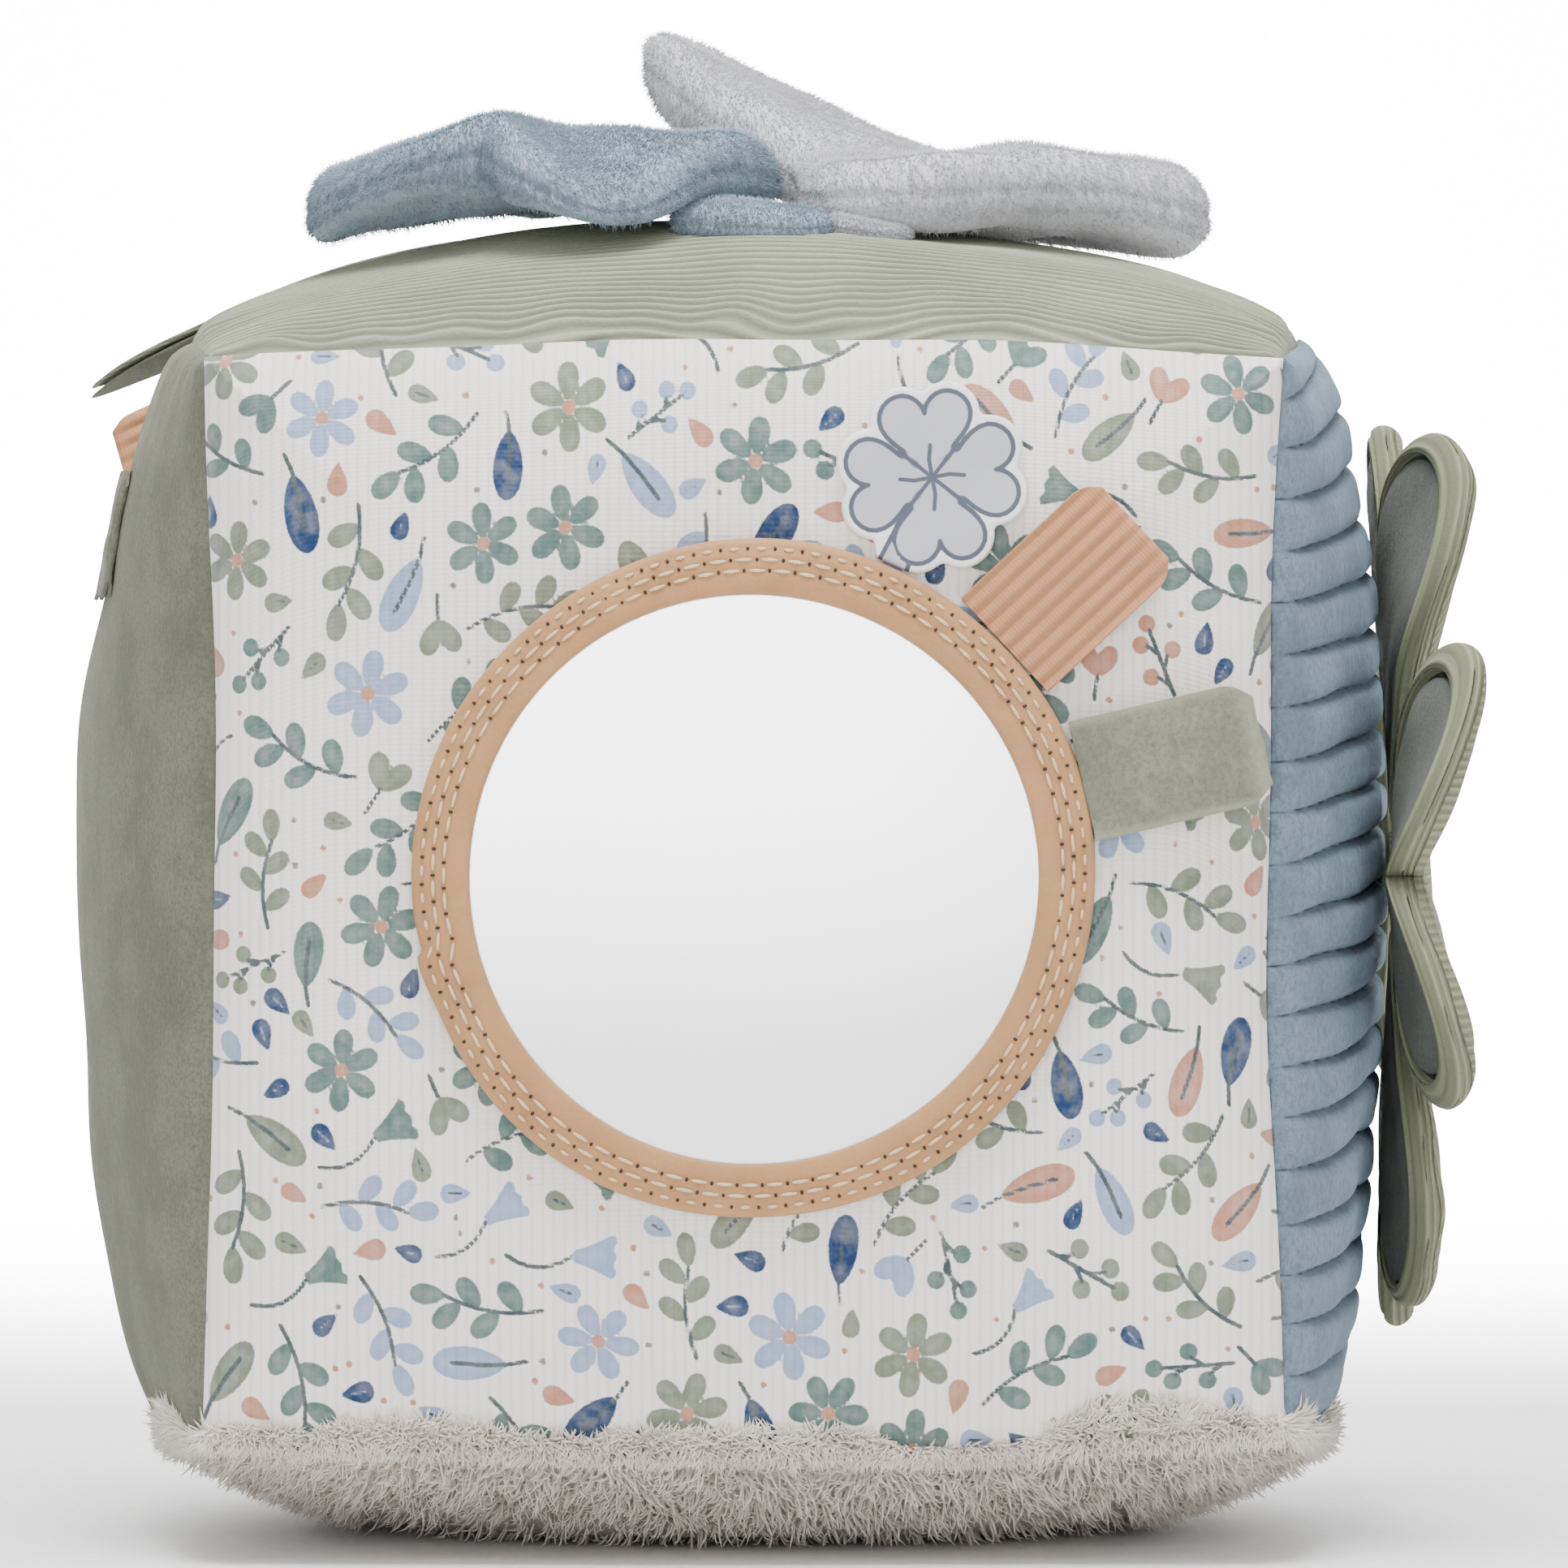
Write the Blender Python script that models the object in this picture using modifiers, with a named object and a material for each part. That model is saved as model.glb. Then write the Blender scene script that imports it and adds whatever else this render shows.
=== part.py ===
"""Soft fabric activity block for a baby, with a mirror, sewn tabs, plush leaves and a clover flap.

Run it with: blender --background --python part.py
Metres, +Z up. The mirror faces -Y. The origin is the middle of the flat that the block rests on.
"""

import math

import bmesh
import bpy
from mathutils import Matrix, Vector

MM = 0.001

# Touching pieces
CLEAR = 0.3 * MM
CUT_OVERRUN = 4 * MM

# The block: six fabric panels round a stuffed core
EDGE = 150 * MM
PANEL_THICK = 1.8 * MM
SEAM_GAP = 0.22 * MM
BASE_TO_SEAM = 17 * MM
LONG_SEAM_BOW = 5 * MM
SIDE_SEAM_BOW = -2 * MM
TOP_SEAM_BOW = 2.5 * MM
DEPTH_SEAM_BOW = 2 * MM
LEFT_CROWN = 19 * MM
RIGHT_CROWN = 13.3 * MM
TOP_CROWN = 16 * MM
BOTTOM_CROWN = 15 * MM
BACK_CROWN = 15 * MM
FRONT_CROWN = 14.5 * MM
CROWN_SHARE = 0.6
CELLS = 8
FRONT_RINGS = 5
CORE_RELIEF = 1.5 * MM

# Wide ribs of the right panel
RIB_PITCH = 7.14 * MM
RIB_HEIGHT = 2.2 * MM
RIB_PHASE_SHARES = (0.0, 0.24, 0.76)

# Rattle inside the core
RATTLE_RADIUS = 16 * MM
RATTLE_LENGTH = 22 * MM
RATTLE_WALL = 1.4 * MM
RATTLE_BEAD_RADIUS = 2.5 * MM
RATTLE_BEAD_RING = 7 * MM
RATTLE_BEADS = 3
RATTLE_CENTRE_DEPTH = 10 * MM

# Mirror on the flat middle of the front panel
MIRROR_OFF_X = 1.5 * MM
MIRROR_OFF_Z = 3 * MM
MIRROR_SIGHT_RADIUS = 39.5 * MM
MIRROR_THICK = 0.8 * MM
PAD_THICK = 1.4 * MM
RING_HOLD = 3.0 * MM
RING_WALL = 3.6 * MM
RING_OVER = 1.3 * MM
RING_EDGE = 0.9 * MM
PLATEAU_MARGIN = 7.3 * MM
ROUND_STEPS = 48

# Tabs sewn under the mirror's ring
RIBBON_WIDTH = 17.4 * MM
RIBBON_REACH = 24.6 * MM
RIBBON_LAYER = 0.8 * MM
RIBBON_CORNER = 3.8 * MM
RIBBON_BEARING = 43.0
VELOUR_WIDTH = 16.8 * MM
VELOUR_REACH = 25.4 * MM
VELOUR_LAYER = 1.1 * MM
VELOUR_CORNER = 4.5 * MM
VELOUR_BEARING = 16.5
VELOUR_LEAN = -3.5
LOOP_GAP = 0.5 * MM
TAG_THICK = 1.4 * MM
TAG_LEAF_REACH = 13.2 * MM
TAG_WAIST_SHARE = 0.62
TAG_NOTCH = 1.7 * MM
TAG_NOTCH_SPREAD = 9.0
TAG_STEM_HALF = 3.4 * MM
TAG_CENTRE_OUT = 13.2 * MM
TAG_BEARING = 66.0
TAG_TURN = 31.0
TAG_POINTS = 72

# Tab on the left panel and ribbon at the top corner behind
SIDE_TAB_WIDTH = 16.8 * MM
SIDE_TAB_LENGTH = 30 * MM
SIDE_TAB_THICK = 1.5 * MM
SIDE_TAB_ROOT_Y = -12 * MM
SIDE_TAB_Z = 142.5 * MM
SIDE_TAB_CELLS = 6
CORNER_RIBBON_WIDTH = 11 * MM
CORNER_RIBBON_REACH = 21.5 * MM
CORNER_RIBBON_DROOP = 16.0
CORNER_RIBBON_OUT = 0.75 * MM

# Plush leaves on top: each lobe is a bearing in degrees, a reach and a rise of its tip
PLUSH_THICK = 12 * MM
PLUSH_SKIN = 1.5 * MM
PLUSH_FILLING_GAP = 0.9 * MM
LOBE_SPREAD = 31.0
PLUSH_FULLNESS = 8
PLUSH_SPOKES = 36
PLUSH_RINGS = 4
BLUE_CENTRE = (-25 * MM, -27 * MM, 198.3 * MM)
BLUE_WAIST = 24 * MM
BLUE_LOBES = (
    (172.0, 38.5 * MM, -7.0 * MM),
    (285.0, 29.5 * MM, -9.6 * MM),
    (12.0, 28.0 * MM, -0.5 * MM),
    (100.0, 27 * MM, 0.5 * MM),
)
GREY_CENTRE = (34 * MM, 2 * MM, 197.3 * MM)
GREY_WAIST = 24 * MM
GREY_LOBES = (
    (3.0, 34.5 * MM, -6.0 * MM),
    (155.0, 53.5 * MM, 15.4 * MM),
    (247.0, 45 * MM, -4.6 * MM),
    (78.0, 27 * MM, -1.5 * MM),
)
# Each root tab: its middle, half length along X, half width along Y and height
ROOT_TABS = {
    "blue": (0.5 * MM, -39.5 * MM, 10.5 * MM, 4.2 * MM, 6.5 * MM),
    "grey": (18 * MM, -37.5 * MM, 6.2 * MM, 4.2 * MM, 2.5 * MM),
}
ROOT_TAB_DOME = 0.55
PLUSH_HINGE_Y = -44 * MM
PLUSH_HINGE_Z = 189 * MM

# Flat sage leaf that lies over the top left edge
SAGE_LAYER = 1.5 * MM
SAGE_HALF_WIDTH = 12 * MM
SAGE_ROOT = (-36 * MM, 22 * MM)
SAGE_TIP = (-97.5 * MM, 34 * MM)
SAGE_LEAVES_PANEL_AT = -72 * MM
SAGE_LIFT = 0.5 * MM
SAGE_TIP_SINK = 3.2 * MM
SAGE_SPOKES = 24
SAGE_RINGS = 5

# Clover flap on the right panel
CLOVER_Z = 95 * MM
CLOVER_LEAF_ROOT = 6.6 * MM
CLOVER_LEAF_REACH = 65 * MM
CLOVER_HALF_WIDTH = 33 * MM
CLOVER_FACE_THICK = 2.0 * MM
CLOVER_BACK_THICK = 1.8 * MM
CLOVER_FILM_THICK = 0.5 * MM
CLOVER_FILM_GAP = 0.7 * MM
CLOVER_FILM_INSET = 3 * MM
CLOVER_CENTRE_RADIUS = 6.2 * MM
CLOVER_FOLD_FROM = 26 * MM
CLOVER_FOLD_OVER = 38 * MM
CLOVER_DROOP_AT = 50 * MM
CLOVER_SPOKES = 28
CLOVER_RINGS = 3
# name, bearing from +Y towards +Z, droop of its midrib, rise of its two lobes
CLOVER_LEAVES = (
    ("front", 180.0, 5.4 * MM, 9.5 * MM, 14.5 * MM),
    ("top", 94.0, 1.9 * MM, 9.0 * MM, 0.5 * MM),
    ("back", 0.0, 5.4 * MM, 9 * MM, 11 * MM),
    ("bottom", 262.0, 1.9 * MM, 3 * MM, 3.5 * MM),
)

HALF = EDGE / 2
MIDDLE_Z = BASE_TO_SEAM + HALF
FACE_Y = -(HALF + FRONT_CROWN)
MIRROR_X = MIRROR_OFF_X
MIRROR_RADIUS = MIRROR_SIGHT_RADIUS + RING_HOLD
PAD_RADIUS = MIRROR_RADIUS + CLEAR
RING_RADIUS = PAD_RADIUS + CLEAR + RING_WALL
PLATEAU_RADIUS = RING_RADIUS + PLATEAU_MARGIN
MIRROR_Z = MIDDLE_Z + MIRROR_OFF_Z

FINISHES = {
    "printed_jersey": ((0.80, 0.78, 0.75), 0.90),
    "sage_velour": ((0.36, 0.37, 0.30), 0.95),
    "sage_cord": ((0.47, 0.48, 0.40), 0.92),
    "blue_cord": ((0.29, 0.37, 0.43), 0.92),
    "cream_plush": ((0.66, 0.61, 0.56), 0.97),
    "blue_plush": ((0.28, 0.36, 0.42), 0.94),
    "grey_plush": ((0.50, 0.51, 0.56), 0.94),
    "grey_velour": ((0.30, 0.31, 0.29), 0.95),
    "tan_tape": ((0.68, 0.46, 0.28), 0.60),
    "peach_ribbon": ((0.68, 0.42, 0.28), 0.75),
    "grey_satin": ((0.50, 0.51, 0.54), 0.55),
    "mirror_film": ((0.90, 0.90, 0.90), 0.05),
    "white_fibre": ((0.88, 0.88, 0.87), 0.97),
    "white_foam": ((0.80, 0.80, 0.80), 0.90),
    "crinkle_film": ((0.75, 0.76, 0.76), 0.25),
    "rattle_plastic": ((0.80, 0.80, 0.78), 0.45),
    "bead_steel": ((0.60, 0.60, 0.60), 0.30),
}
METALLIC = {"mirror_film": 1.0, "bead_steel": 1.0}


def clear_scene():
    for old in list(bpy.data.objects):
        bpy.data.objects.remove(old, do_unlink=True)


def new_collection(name):
    made = bpy.data.collections.new(name)
    bpy.context.scene.collection.children.link(made)
    return made


def finish(name):
    """The named finish as a Principled material, made once."""
    made = bpy.data.materials.get(name)
    if made:
        return made
    colour, roughness = FINISHES[name]
    made = bpy.data.materials.new(name)
    made.use_nodes = True
    shader = made.node_tree.nodes["Principled BSDF"]
    shader.inputs["Base Color"].default_value = (*colour, 1)
    shader.inputs["Roughness"].default_value = roughness
    shader.inputs["Metallic"].default_value = METALLIC.get(name, 0)
    made.diffuse_color = (*colour, 1)
    return made


def object_of(name, mesh, look, collection):
    made = bpy.data.objects.new(name, mesh)
    collection.objects.link(made)
    mesh.materials.clear()
    mesh.materials.append(finish(look))
    mesh.shade_smooth()
    mesh.set_sharp_from_angle(angle=math.radians(40))
    return made


def mesh_object(name, bm, look, collection):
    bmesh.ops.recalc_face_normals(bm, faces=bm.faces[:])
    if bm.calc_volume(signed=True) < 0:
        bmesh.ops.reverse_faces(bm, faces=bm.faces[:])
    mesh = bpy.data.meshes.new(name)
    bm.to_mesh(mesh)
    bm.free()
    return object_of(name, mesh, look, collection)


def hide_helper(helper):
    helper.hide_render = True
    helper.display_type = "WIRE"


def boolean(target, tool, operation):
    cut = target.modifiers.new(tool.name, "BOOLEAN")
    cut.operation = operation
    cut.object = tool
    cut.solver = "EXACT"
    hide_helper(tool)


def screw_round(made):
    """Turns a profile in the object's XZ plane once round the object's Z axis."""
    turn = made.modifiers.new("turn", "SCREW")
    turn.steps = ROUND_STEPS
    turn.render_steps = ROUND_STEPS
    turn.use_merge_vertices = True
    turn.merge_threshold = CLEAR / 10
    turn.use_normal_calculate = False


def turned(name, profile, look, collection):
    """A closed profile of (radius, height) points, turned round the object's Z axis."""
    bm = bmesh.new()
    ring = [bm.verts.new((radius, 0, height)) for radius, height in profile]
    for here, after in zip(ring, ring[1:] + ring[:1]):
        bm.edges.new((here, after))
    mesh = bpy.data.meshes.new(name)
    bm.to_mesh(mesh)
    bm.free()
    made = object_of(name, mesh, look, collection)
    screw_round(made)
    return made


def slab(name, rows, columns, place, look, collection):
    """A grid extruded once: place(s, t, inside) gives each point, with s and t from -1 to 1."""
    bm = bmesh.new()
    bmesh.ops.create_grid(bm, x_segments=rows, y_segments=columns, size=1)
    made = bmesh.ops.extrude_face_region(bm, geom=bm.faces[:])["geom"]
    inner = {vert for vert in made if isinstance(vert, bmesh.types.BMVert)}
    for vert in bm.verts:
        vert.co = place(vert.co.x, vert.co.y, vert in inner)
    return mesh_object(name, bm, look, collection)


def lens(name, spokes, rings, outer, inner, look, collection, rim=True):
    """A round cage of two skins: outer(turn, share) and inner(turn, share) place the points.

    The cage is a UV sphere whose bands run from the outer skin's middle to its edge and back
    along the inner skin. With rim False the two skins share their edge.
    """
    bands = 2 * rings + (1 if rim else 0)
    bm = bmesh.new()
    bmesh.ops.create_uvsphere(bm, u_segments=spokes, v_segments=bands, radius=1)
    for vert in bm.verts:
        up = max(-1.0, min(1.0, vert.co.z))
        band = round(math.acos(up) / math.pi * bands)
        turn = math.atan2(vert.co.y, vert.co.x)
        if band <= rings:
            vert.co = outer(turn, band / rings)
        else:
            vert.co = inner(turn, (bands - band) / rings)
    return mesh_object(name, bm, look, collection)


def flat_outline(name, points, thick, look, collection):
    """A flat outline of (x, y) points as a 2D curve, extruded to thick about z = 0, as a mesh."""
    curve = bpy.data.curves.new(name, "CURVE")
    curve.dimensions = "2D"
    curve.fill_mode = "BOTH"
    curve.extrude = thick / 2
    spline = curve.splines.new("POLY")
    spline.points.add(len(points) - 1)
    for point, (x, y) in zip(spline.points, points):
        point.co = (x, y, 0, 1)
    spline.use_cyclic_u = True
    drawn = bpy.data.objects.new(name, curve)
    collection.objects.link(drawn)
    bpy.context.view_layer.update()
    graph = bpy.context.evaluated_depsgraph_get()
    mesh = bpy.data.meshes.new_from_object(drawn.evaluated_get(graph))
    bpy.data.objects.remove(drawn)
    bm = bmesh.new()
    bm.from_mesh(mesh)
    bmesh.ops.remove_doubles(bm, verts=bm.verts[:], dist=CLEAR / 10)
    return mesh_object(name, bm, look, collection)


def frame_matrix(origin, along, across, up):
    """Takes local x, y, z to along, across and up, from origin."""
    turn = Matrix((along, across, up)).transposed().to_4x4()
    return Matrix.Translation(origin) @ turn


def pivot(pieces, point):
    """Moves the pieces' origins to a point on their hinge's axis, with their shapes kept in place."""
    for piece in pieces:
        piece.data.transform(Matrix.Translation(-point))
        piece.location = point


def arc(centre, radius, start, end, count):
    """Points on an arc, with the angles in degrees."""
    angles = [math.radians(start + (end - start) * i / count) for i in range(count + 1)]
    return [
        (centre[0] + radius * math.cos(a), centre[1] + radius * math.sin(a))
        for a in angles
    ]


def spaced(share):
    """A grid place from -1 to 1, closer together towards the seams."""
    return math.sin(share * math.pi / 2)


def seam_bow(x, y, z):
    """How far the sewn cube's seams and faces bow out at a place on the unit cube."""
    return Vector(
        (
            x**3 * (LONG_SEAM_BOW * (1 - y * y) + SIDE_SEAM_BOW * (1 - z * z)),
            y**3 * DEPTH_SEAM_BOW * ((1 - x * x) + (1 - z * z)),
            z**3 * (LONG_SEAM_BOW * (1 - y * y) + TOP_SEAM_BOW * (1 - x * x)),
        )
    )


def crown(height, s, t):
    """The stuffed panel's rise at s, t, which is none at its seams."""
    return height * (max(0, 1 - s * s) * max(0, 1 - t * t)) ** CROWN_SHARE


# The way that each panel faces
PANEL_WAYS = {"left": "-x", "right": "+x", "back": "+y", "top": "+z", "bottom": "-z"}
PANEL_CROWNS = {
    "left": LEFT_CROWN,
    "right": RIGHT_CROWN,
    "back": BACK_CROWN,
    "top": TOP_CROWN,
    "bottom": BOTTOM_CROWN,
}


def way_of(side):
    """The index of the axis along which a panel faces, and its sign."""
    way = PANEL_WAYS[side]
    return "xyz".index(way[1]), -1 if way[0] == "-" else 1


def panel_point(side, s, t, half, gap, lift=0):
    """The point of a panel at s, t on a sewn cube of that half size, in the row frame."""
    axis, sign = way_of(side)
    height = PANEL_CROWNS[side]
    unit = [0.0, 0.0, 0.0]
    unit[axis] = sign
    unit[(axis + 1) % 3] = s
    unit[(axis + 2) % 3] = t
    point = Vector(unit) * (half - gap)
    point[axis] = sign * half
    point += seam_bow(*unit)
    point[axis] += sign * (crown(height, s, t) + lift)
    point.z += MIDDLE_Z
    if side == "bottom":
        # The floor presses the bottom crown flat.
        point.z = max(point.z, HALF - half - min(lift, 0))
    return point


def square_point(turn):
    """The unit square's edge point for a turn, spaced as the other panels' seams are."""
    quarter = round(turn / (math.pi / 2))
    rest = turn - quarter * math.pi / 2
    point = Vector((1, math.sin(2 * rest)))
    return Matrix.Rotation(quarter * math.pi / 2, 2) @ point


def front_point(turn, share, half, gap):
    """The front panel: a round flat middle for the mirror that falls away to the square seam."""
    start = 1 / FRONT_RINGS
    edge = square_point(turn) * (half - gap)
    bow = seam_bow(edge.x / (half - gap), -1, edge.y / (half - gap))
    edge_point = Vector((edge.x + bow.x, edge.y + bow.z))
    circle = Vector((math.cos(turn), math.sin(turn))) * PLATEAU_RADIUS
    circle += Vector((MIRROR_OFF_X, MIRROR_OFF_Z))
    if share <= start:
        flat = circle * (share / start)
        return Vector((flat.x, -half - FRONT_CROWN, flat.y + MIDDLE_Z))
    fall = (share - start) / (1 - start) * math.pi / 2
    flat = circle.lerp(edge_point, math.sin(fall) ** 1.15)
    drop = math.cos(fall)
    deep = half + FRONT_CROWN * drop - bow.y * (1 - drop)
    return Vector((flat.x, -deep, flat.y + MIDDLE_Z))


def add_front_panel(collection):
    inner_half = HALF - PANEL_THICK

    def outer(turn, share):
        return front_point(turn, share, HALF, SEAM_GAP)

    def inner(turn, share):
        return front_point(turn, share, inner_half, SEAM_GAP)

    return lens(
        "front_panel", 4 * CELLS, FRONT_RINGS, outer, inner, "printed_jersey", collection
    )


def add_plain_panel(side, look, collection):
    def place(s, t, inside):
        half = HALF - (PANEL_THICK if inside else 0)
        return panel_point(side, spaced(s), spaced(t), half, SEAM_GAP)

    return slab(f"{side}_panel", CELLS, CELLS, place, look, collection)


def rib_place(row):
    """The place up the panel, from -1 to 1, and the rib's share of its height, at a row."""
    ribs = round(EDGE / RIB_PITCH)
    rib, phase = divmod(row, len(RIB_PHASE_SHARES))
    place = -1 + 2 * (rib + RIB_PHASE_SHARES[phase]) / ribs
    return place, 1.0 if phase else 0.0


def add_ribbed_panel(collection):
    """The right panel, whose wide ribs run from front to back."""
    rows = round(EDGE / RIB_PITCH) * len(RIB_PHASE_SHARES)

    def place(s, t, inside):
        up, rib = rib_place(round((t + 1) / 2 * rows))
        across = spaced(s)
        at_seam = abs(s) > 1 - 1 / rows
        lift = 0 if inside or at_seam else rib * RIB_HEIGHT
        half = HALF - (PANEL_THICK if inside else 0)
        return panel_point("right", across, up, half, SEAM_GAP, lift)

    return slab("right_panel", CELLS, rows, place, "blue_cord", collection)


def core_point(unit):
    """The stuffed core under the panels, from a place on the unit cube."""
    half = HALF - PANEL_THICK - CLEAR
    axis = max(range(3), key=lambda i: abs(unit[i]))
    sign = math.copysign(1, unit[axis])
    s, t = unit[(axis + 1) % 3], unit[(axis + 2) % 3]
    at_edge = max(abs(s), abs(t)) > 1 - 1e-6
    for side in PANEL_WAYS:
        if way_of(side) == (axis, sign):
            return panel_point(side, s, t, half, 0, 0 if at_edge else -CORE_RELIEF)
    point = Vector(unit) * half + seam_bow(*unit)
    reach = (Vector((point.x - MIRROR_OFF_X, point.z - MIRROR_OFF_Z))).length
    away = max(abs(s), abs(t))
    fall = max(0.0, min(1.0, (reach - PLATEAU_RADIUS) / (HALF - PLATEAU_RADIUS)))
    rise = (FRONT_CROWN - CORE_RELIEF) * math.sqrt(1 - max(fall, away**8) ** 2)
    point.y = -half - (0 if at_edge else rise)
    if at_edge:
        point.y = -half + seam_bow(*unit).y
    point.z += MIDDLE_Z
    return point


def add_core(collection, cutters):
    """The polyester filling, with the channel through which the rattle was pushed in."""
    bm = bmesh.new()
    bmesh.ops.create_cube(bm, size=2)
    bmesh.ops.subdivide_edges(bm, edges=bm.edges[:], cuts=CELLS - 1, use_grid_fill=True)
    for vert in bm.verts:
        vert.co = core_point([spaced(value) for value in vert.co])
    core = mesh_object("filling", bm, "white_fibre", collection)
    channel_radius = RATTLE_RADIUS + CLEAR
    floor = RATTLE_CENTRE_DEPTH - RATTLE_LENGTH / 2 - CLEAR
    length = HALF + BACK_CROWN + CUT_OVERRUN - floor
    bpy.ops.mesh.primitive_cylinder_add(
        vertices=ROUND_STEPS // 2, radius=channel_radius, depth=length
    )
    channel = bpy.context.object
    channel.name = "rattle_channel"
    for owner in list(channel.users_collection):
        owner.objects.unlink(channel)
    cutters.objects.link(channel)
    channel.rotation_euler = (math.pi / 2, 0, 0)
    channel.location = (0, floor + length / 2, MIDDLE_Z)
    boolean(core, channel, "DIFFERENCE")
    return core


def add_filling_plug(collection):
    """The last fibre pushed in behind the rattle, up to the closing seam of the back panel."""
    start = RATTLE_CENTRE_DEPTH + RATTLE_LENGTH / 2 + CLEAR
    radius = RATTLE_RADIUS - CLEAR
    end = panel_point("back", radius / HALF, radius / HALF, HALF - PANEL_THICK, 0).y - 2 * CLEAR
    profile = [(0, end - start), (radius, end - start), (radius, 0), (0, 0)]
    plug = turned("filling_plug", profile, "white_fibre", collection)
    plug.matrix_world = frame_matrix(
        Vector((0, start, MIDDLE_Z)), Vector((1, 0, 0)), Vector((0, 0, -1)), Vector((0, 1, 0))
    )
    return plug


def add_rattle(collection):
    """A two-part plastic case with steel beads that lie in its lower side."""
    wall = RATTLE_WALL
    half = RATTLE_LENGTH / 2
    corner = RATTLE_WALL
    cup = [
        (0, half),
        (RATTLE_RADIUS - corner, half),
        (RATTLE_RADIUS, half - corner),
        (RATTLE_RADIUS, CLEAR / 2),
        (RATTLE_RADIUS - wall, CLEAR / 2),
        (RATTLE_RADIUS - wall, half - wall),
        (0, half - wall),
    ]
    centre = Vector((0, RATTLE_CENTRE_DEPTH, MIDDLE_Z))
    ways = {
        "back": (Vector((0, 0, -1)), Vector((0, 1, 0))),
        "front": (Vector((0, 0, 1)), Vector((0, -1, 0))),
    }
    for name, (across, up) in ways.items():
        case = turned(f"rattle_case_{name}", cup, "rattle_plastic", collection)
        case.matrix_world = frame_matrix(centre, Vector((1, 0, 0)), across, up)
    floor_radius = RATTLE_RADIUS - wall - CLEAR - RATTLE_BEAD_RADIUS
    for bead in range(RATTLE_BEADS):
        swing = (bead - (RATTLE_BEADS - 1) / 2) * (2 * RATTLE_BEAD_RADIUS + CLEAR) / floor_radius
        place = Vector((floor_radius * math.sin(swing), 0, -floor_radius * math.cos(swing)))
        bm = bmesh.new()
        bmesh.ops.create_uvsphere(bm, u_segments=10, v_segments=6, radius=RATTLE_BEAD_RADIUS)
        made = mesh_object(f"rattle_bead_{bead + 1}", bm, "bead_steel", collection)
        made.location = centre + place


def add_mirror(collection):
    """Foam pad, mirror disc and the tape ring that holds its edge down on the front panel."""
    pad_end = CLEAR + PAD_THICK
    mirror_start = pad_end + CLEAR
    mirror_end = mirror_start + MIRROR_THICK
    ring_start = mirror_end + CLEAR
    ring_end = ring_start + RING_OVER
    place = frame_matrix(
        Vector((MIRROR_X, FACE_Y, MIRROR_Z)), Vector((1, 0, 0)), Vector((0, 0, 1)), Vector((0, -1, 0))
    )
    profiles = {
        "mirror_pad": (
            "white_foam",
            [(0, pad_end), (PAD_RADIUS, pad_end), (PAD_RADIUS, CLEAR), (0, CLEAR)],
        ),
        "mirror_disc": (
            "mirror_film",
            [(0, mirror_end), (MIRROR_RADIUS, mirror_end), (MIRROR_RADIUS, mirror_start), (0, mirror_start)],
        ),
        "mirror_ring": (
            "tan_tape",
            [
                (MIRROR_SIGHT_RADIUS + RING_EDGE, ring_end),
                (RING_RADIUS - RING_EDGE, ring_end),
                (RING_RADIUS, ring_end - RING_EDGE),
                (RING_RADIUS, CLEAR),
                (PAD_RADIUS + CLEAR, CLEAR),
                (PAD_RADIUS + CLEAR, ring_start),
                (MIRROR_SIGHT_RADIUS, ring_start),
                (MIRROR_SIGHT_RADIUS, ring_end - RING_EDGE),
            ],
        ),
    }
    for name, (look, profile) in profiles.items():
        turned(name, profile, look, collection).matrix_world = place


def hairpin(reach, layer, gap):
    """The side outline of a folded strip, from its root at x = 0 to its fold, above y = 0."""
    outer = layer + gap / 2
    middle = (reach - outer, outer)
    return [(0, 0), *arc(middle, outer, -90, 90, 8), (0, 2 * outer), (0, outer + gap / 2)] + [
        *arc(middle, gap / 2, 90, -90, 4),
        (0, layer),
    ]


def tab_plan(reach, width, corner):
    """The face outline of a tab from its root, with its two far corners cut round."""
    half = width / 2
    return [
        (-CUT_OVERRUN, -half),
        *arc((reach - corner, -half + corner), corner, -90, 0, 3),
        *arc((reach - corner, half - corner), corner, 0, 90, 3),
        (-CUT_OVERRUN, half),
    ]


def add_loop_tab(name, reach, width, layer, corner, place, look, collection, cutters):
    """A folded strip, sewn at its two ends and pressed flat, that turns about its upper root edge."""
    side = hairpin(reach, layer, LOOP_GAP)
    strip = flat_outline(name, side, width, look, collection)
    on_side = Matrix.Rotation(math.pi / 2, 4, "X")
    thick = 2 * layer + LOOP_GAP
    strip.data.transform(Matrix.Translation((0, 0, -thick)) @ on_side)
    plan = tab_plan(reach, width, corner)
    deep = 2 * (2 * layer + LOOP_GAP) + 2 * CUT_OVERRUN
    cutter = flat_outline(f"{name}_plan", plan, deep, look, cutters)
    boolean(strip, cutter, "INTERSECT")
    at_hinge = place @ Matrix.Translation((0, 0, thick))
    strip.matrix_world = at_hinge
    cutter.matrix_world = at_hinge
    return strip


def face_frame(bearing, radius, lean=0.0):
    """A frame on the front face: x away from the mirror at a bearing, z away from the face."""
    swing = math.radians(bearing)
    lie = math.radians(bearing + lean)
    origin = Vector(
        (
            MIRROR_X + radius * math.cos(swing),
            FACE_Y - CLEAR,
            MIRROR_Z + radius * math.sin(swing),
        )
    )
    along = Vector((math.cos(lie), 0, math.sin(lie)))
    up = Vector((0, -1, 0))
    return frame_matrix(origin, along, up.cross(along), up)


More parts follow.
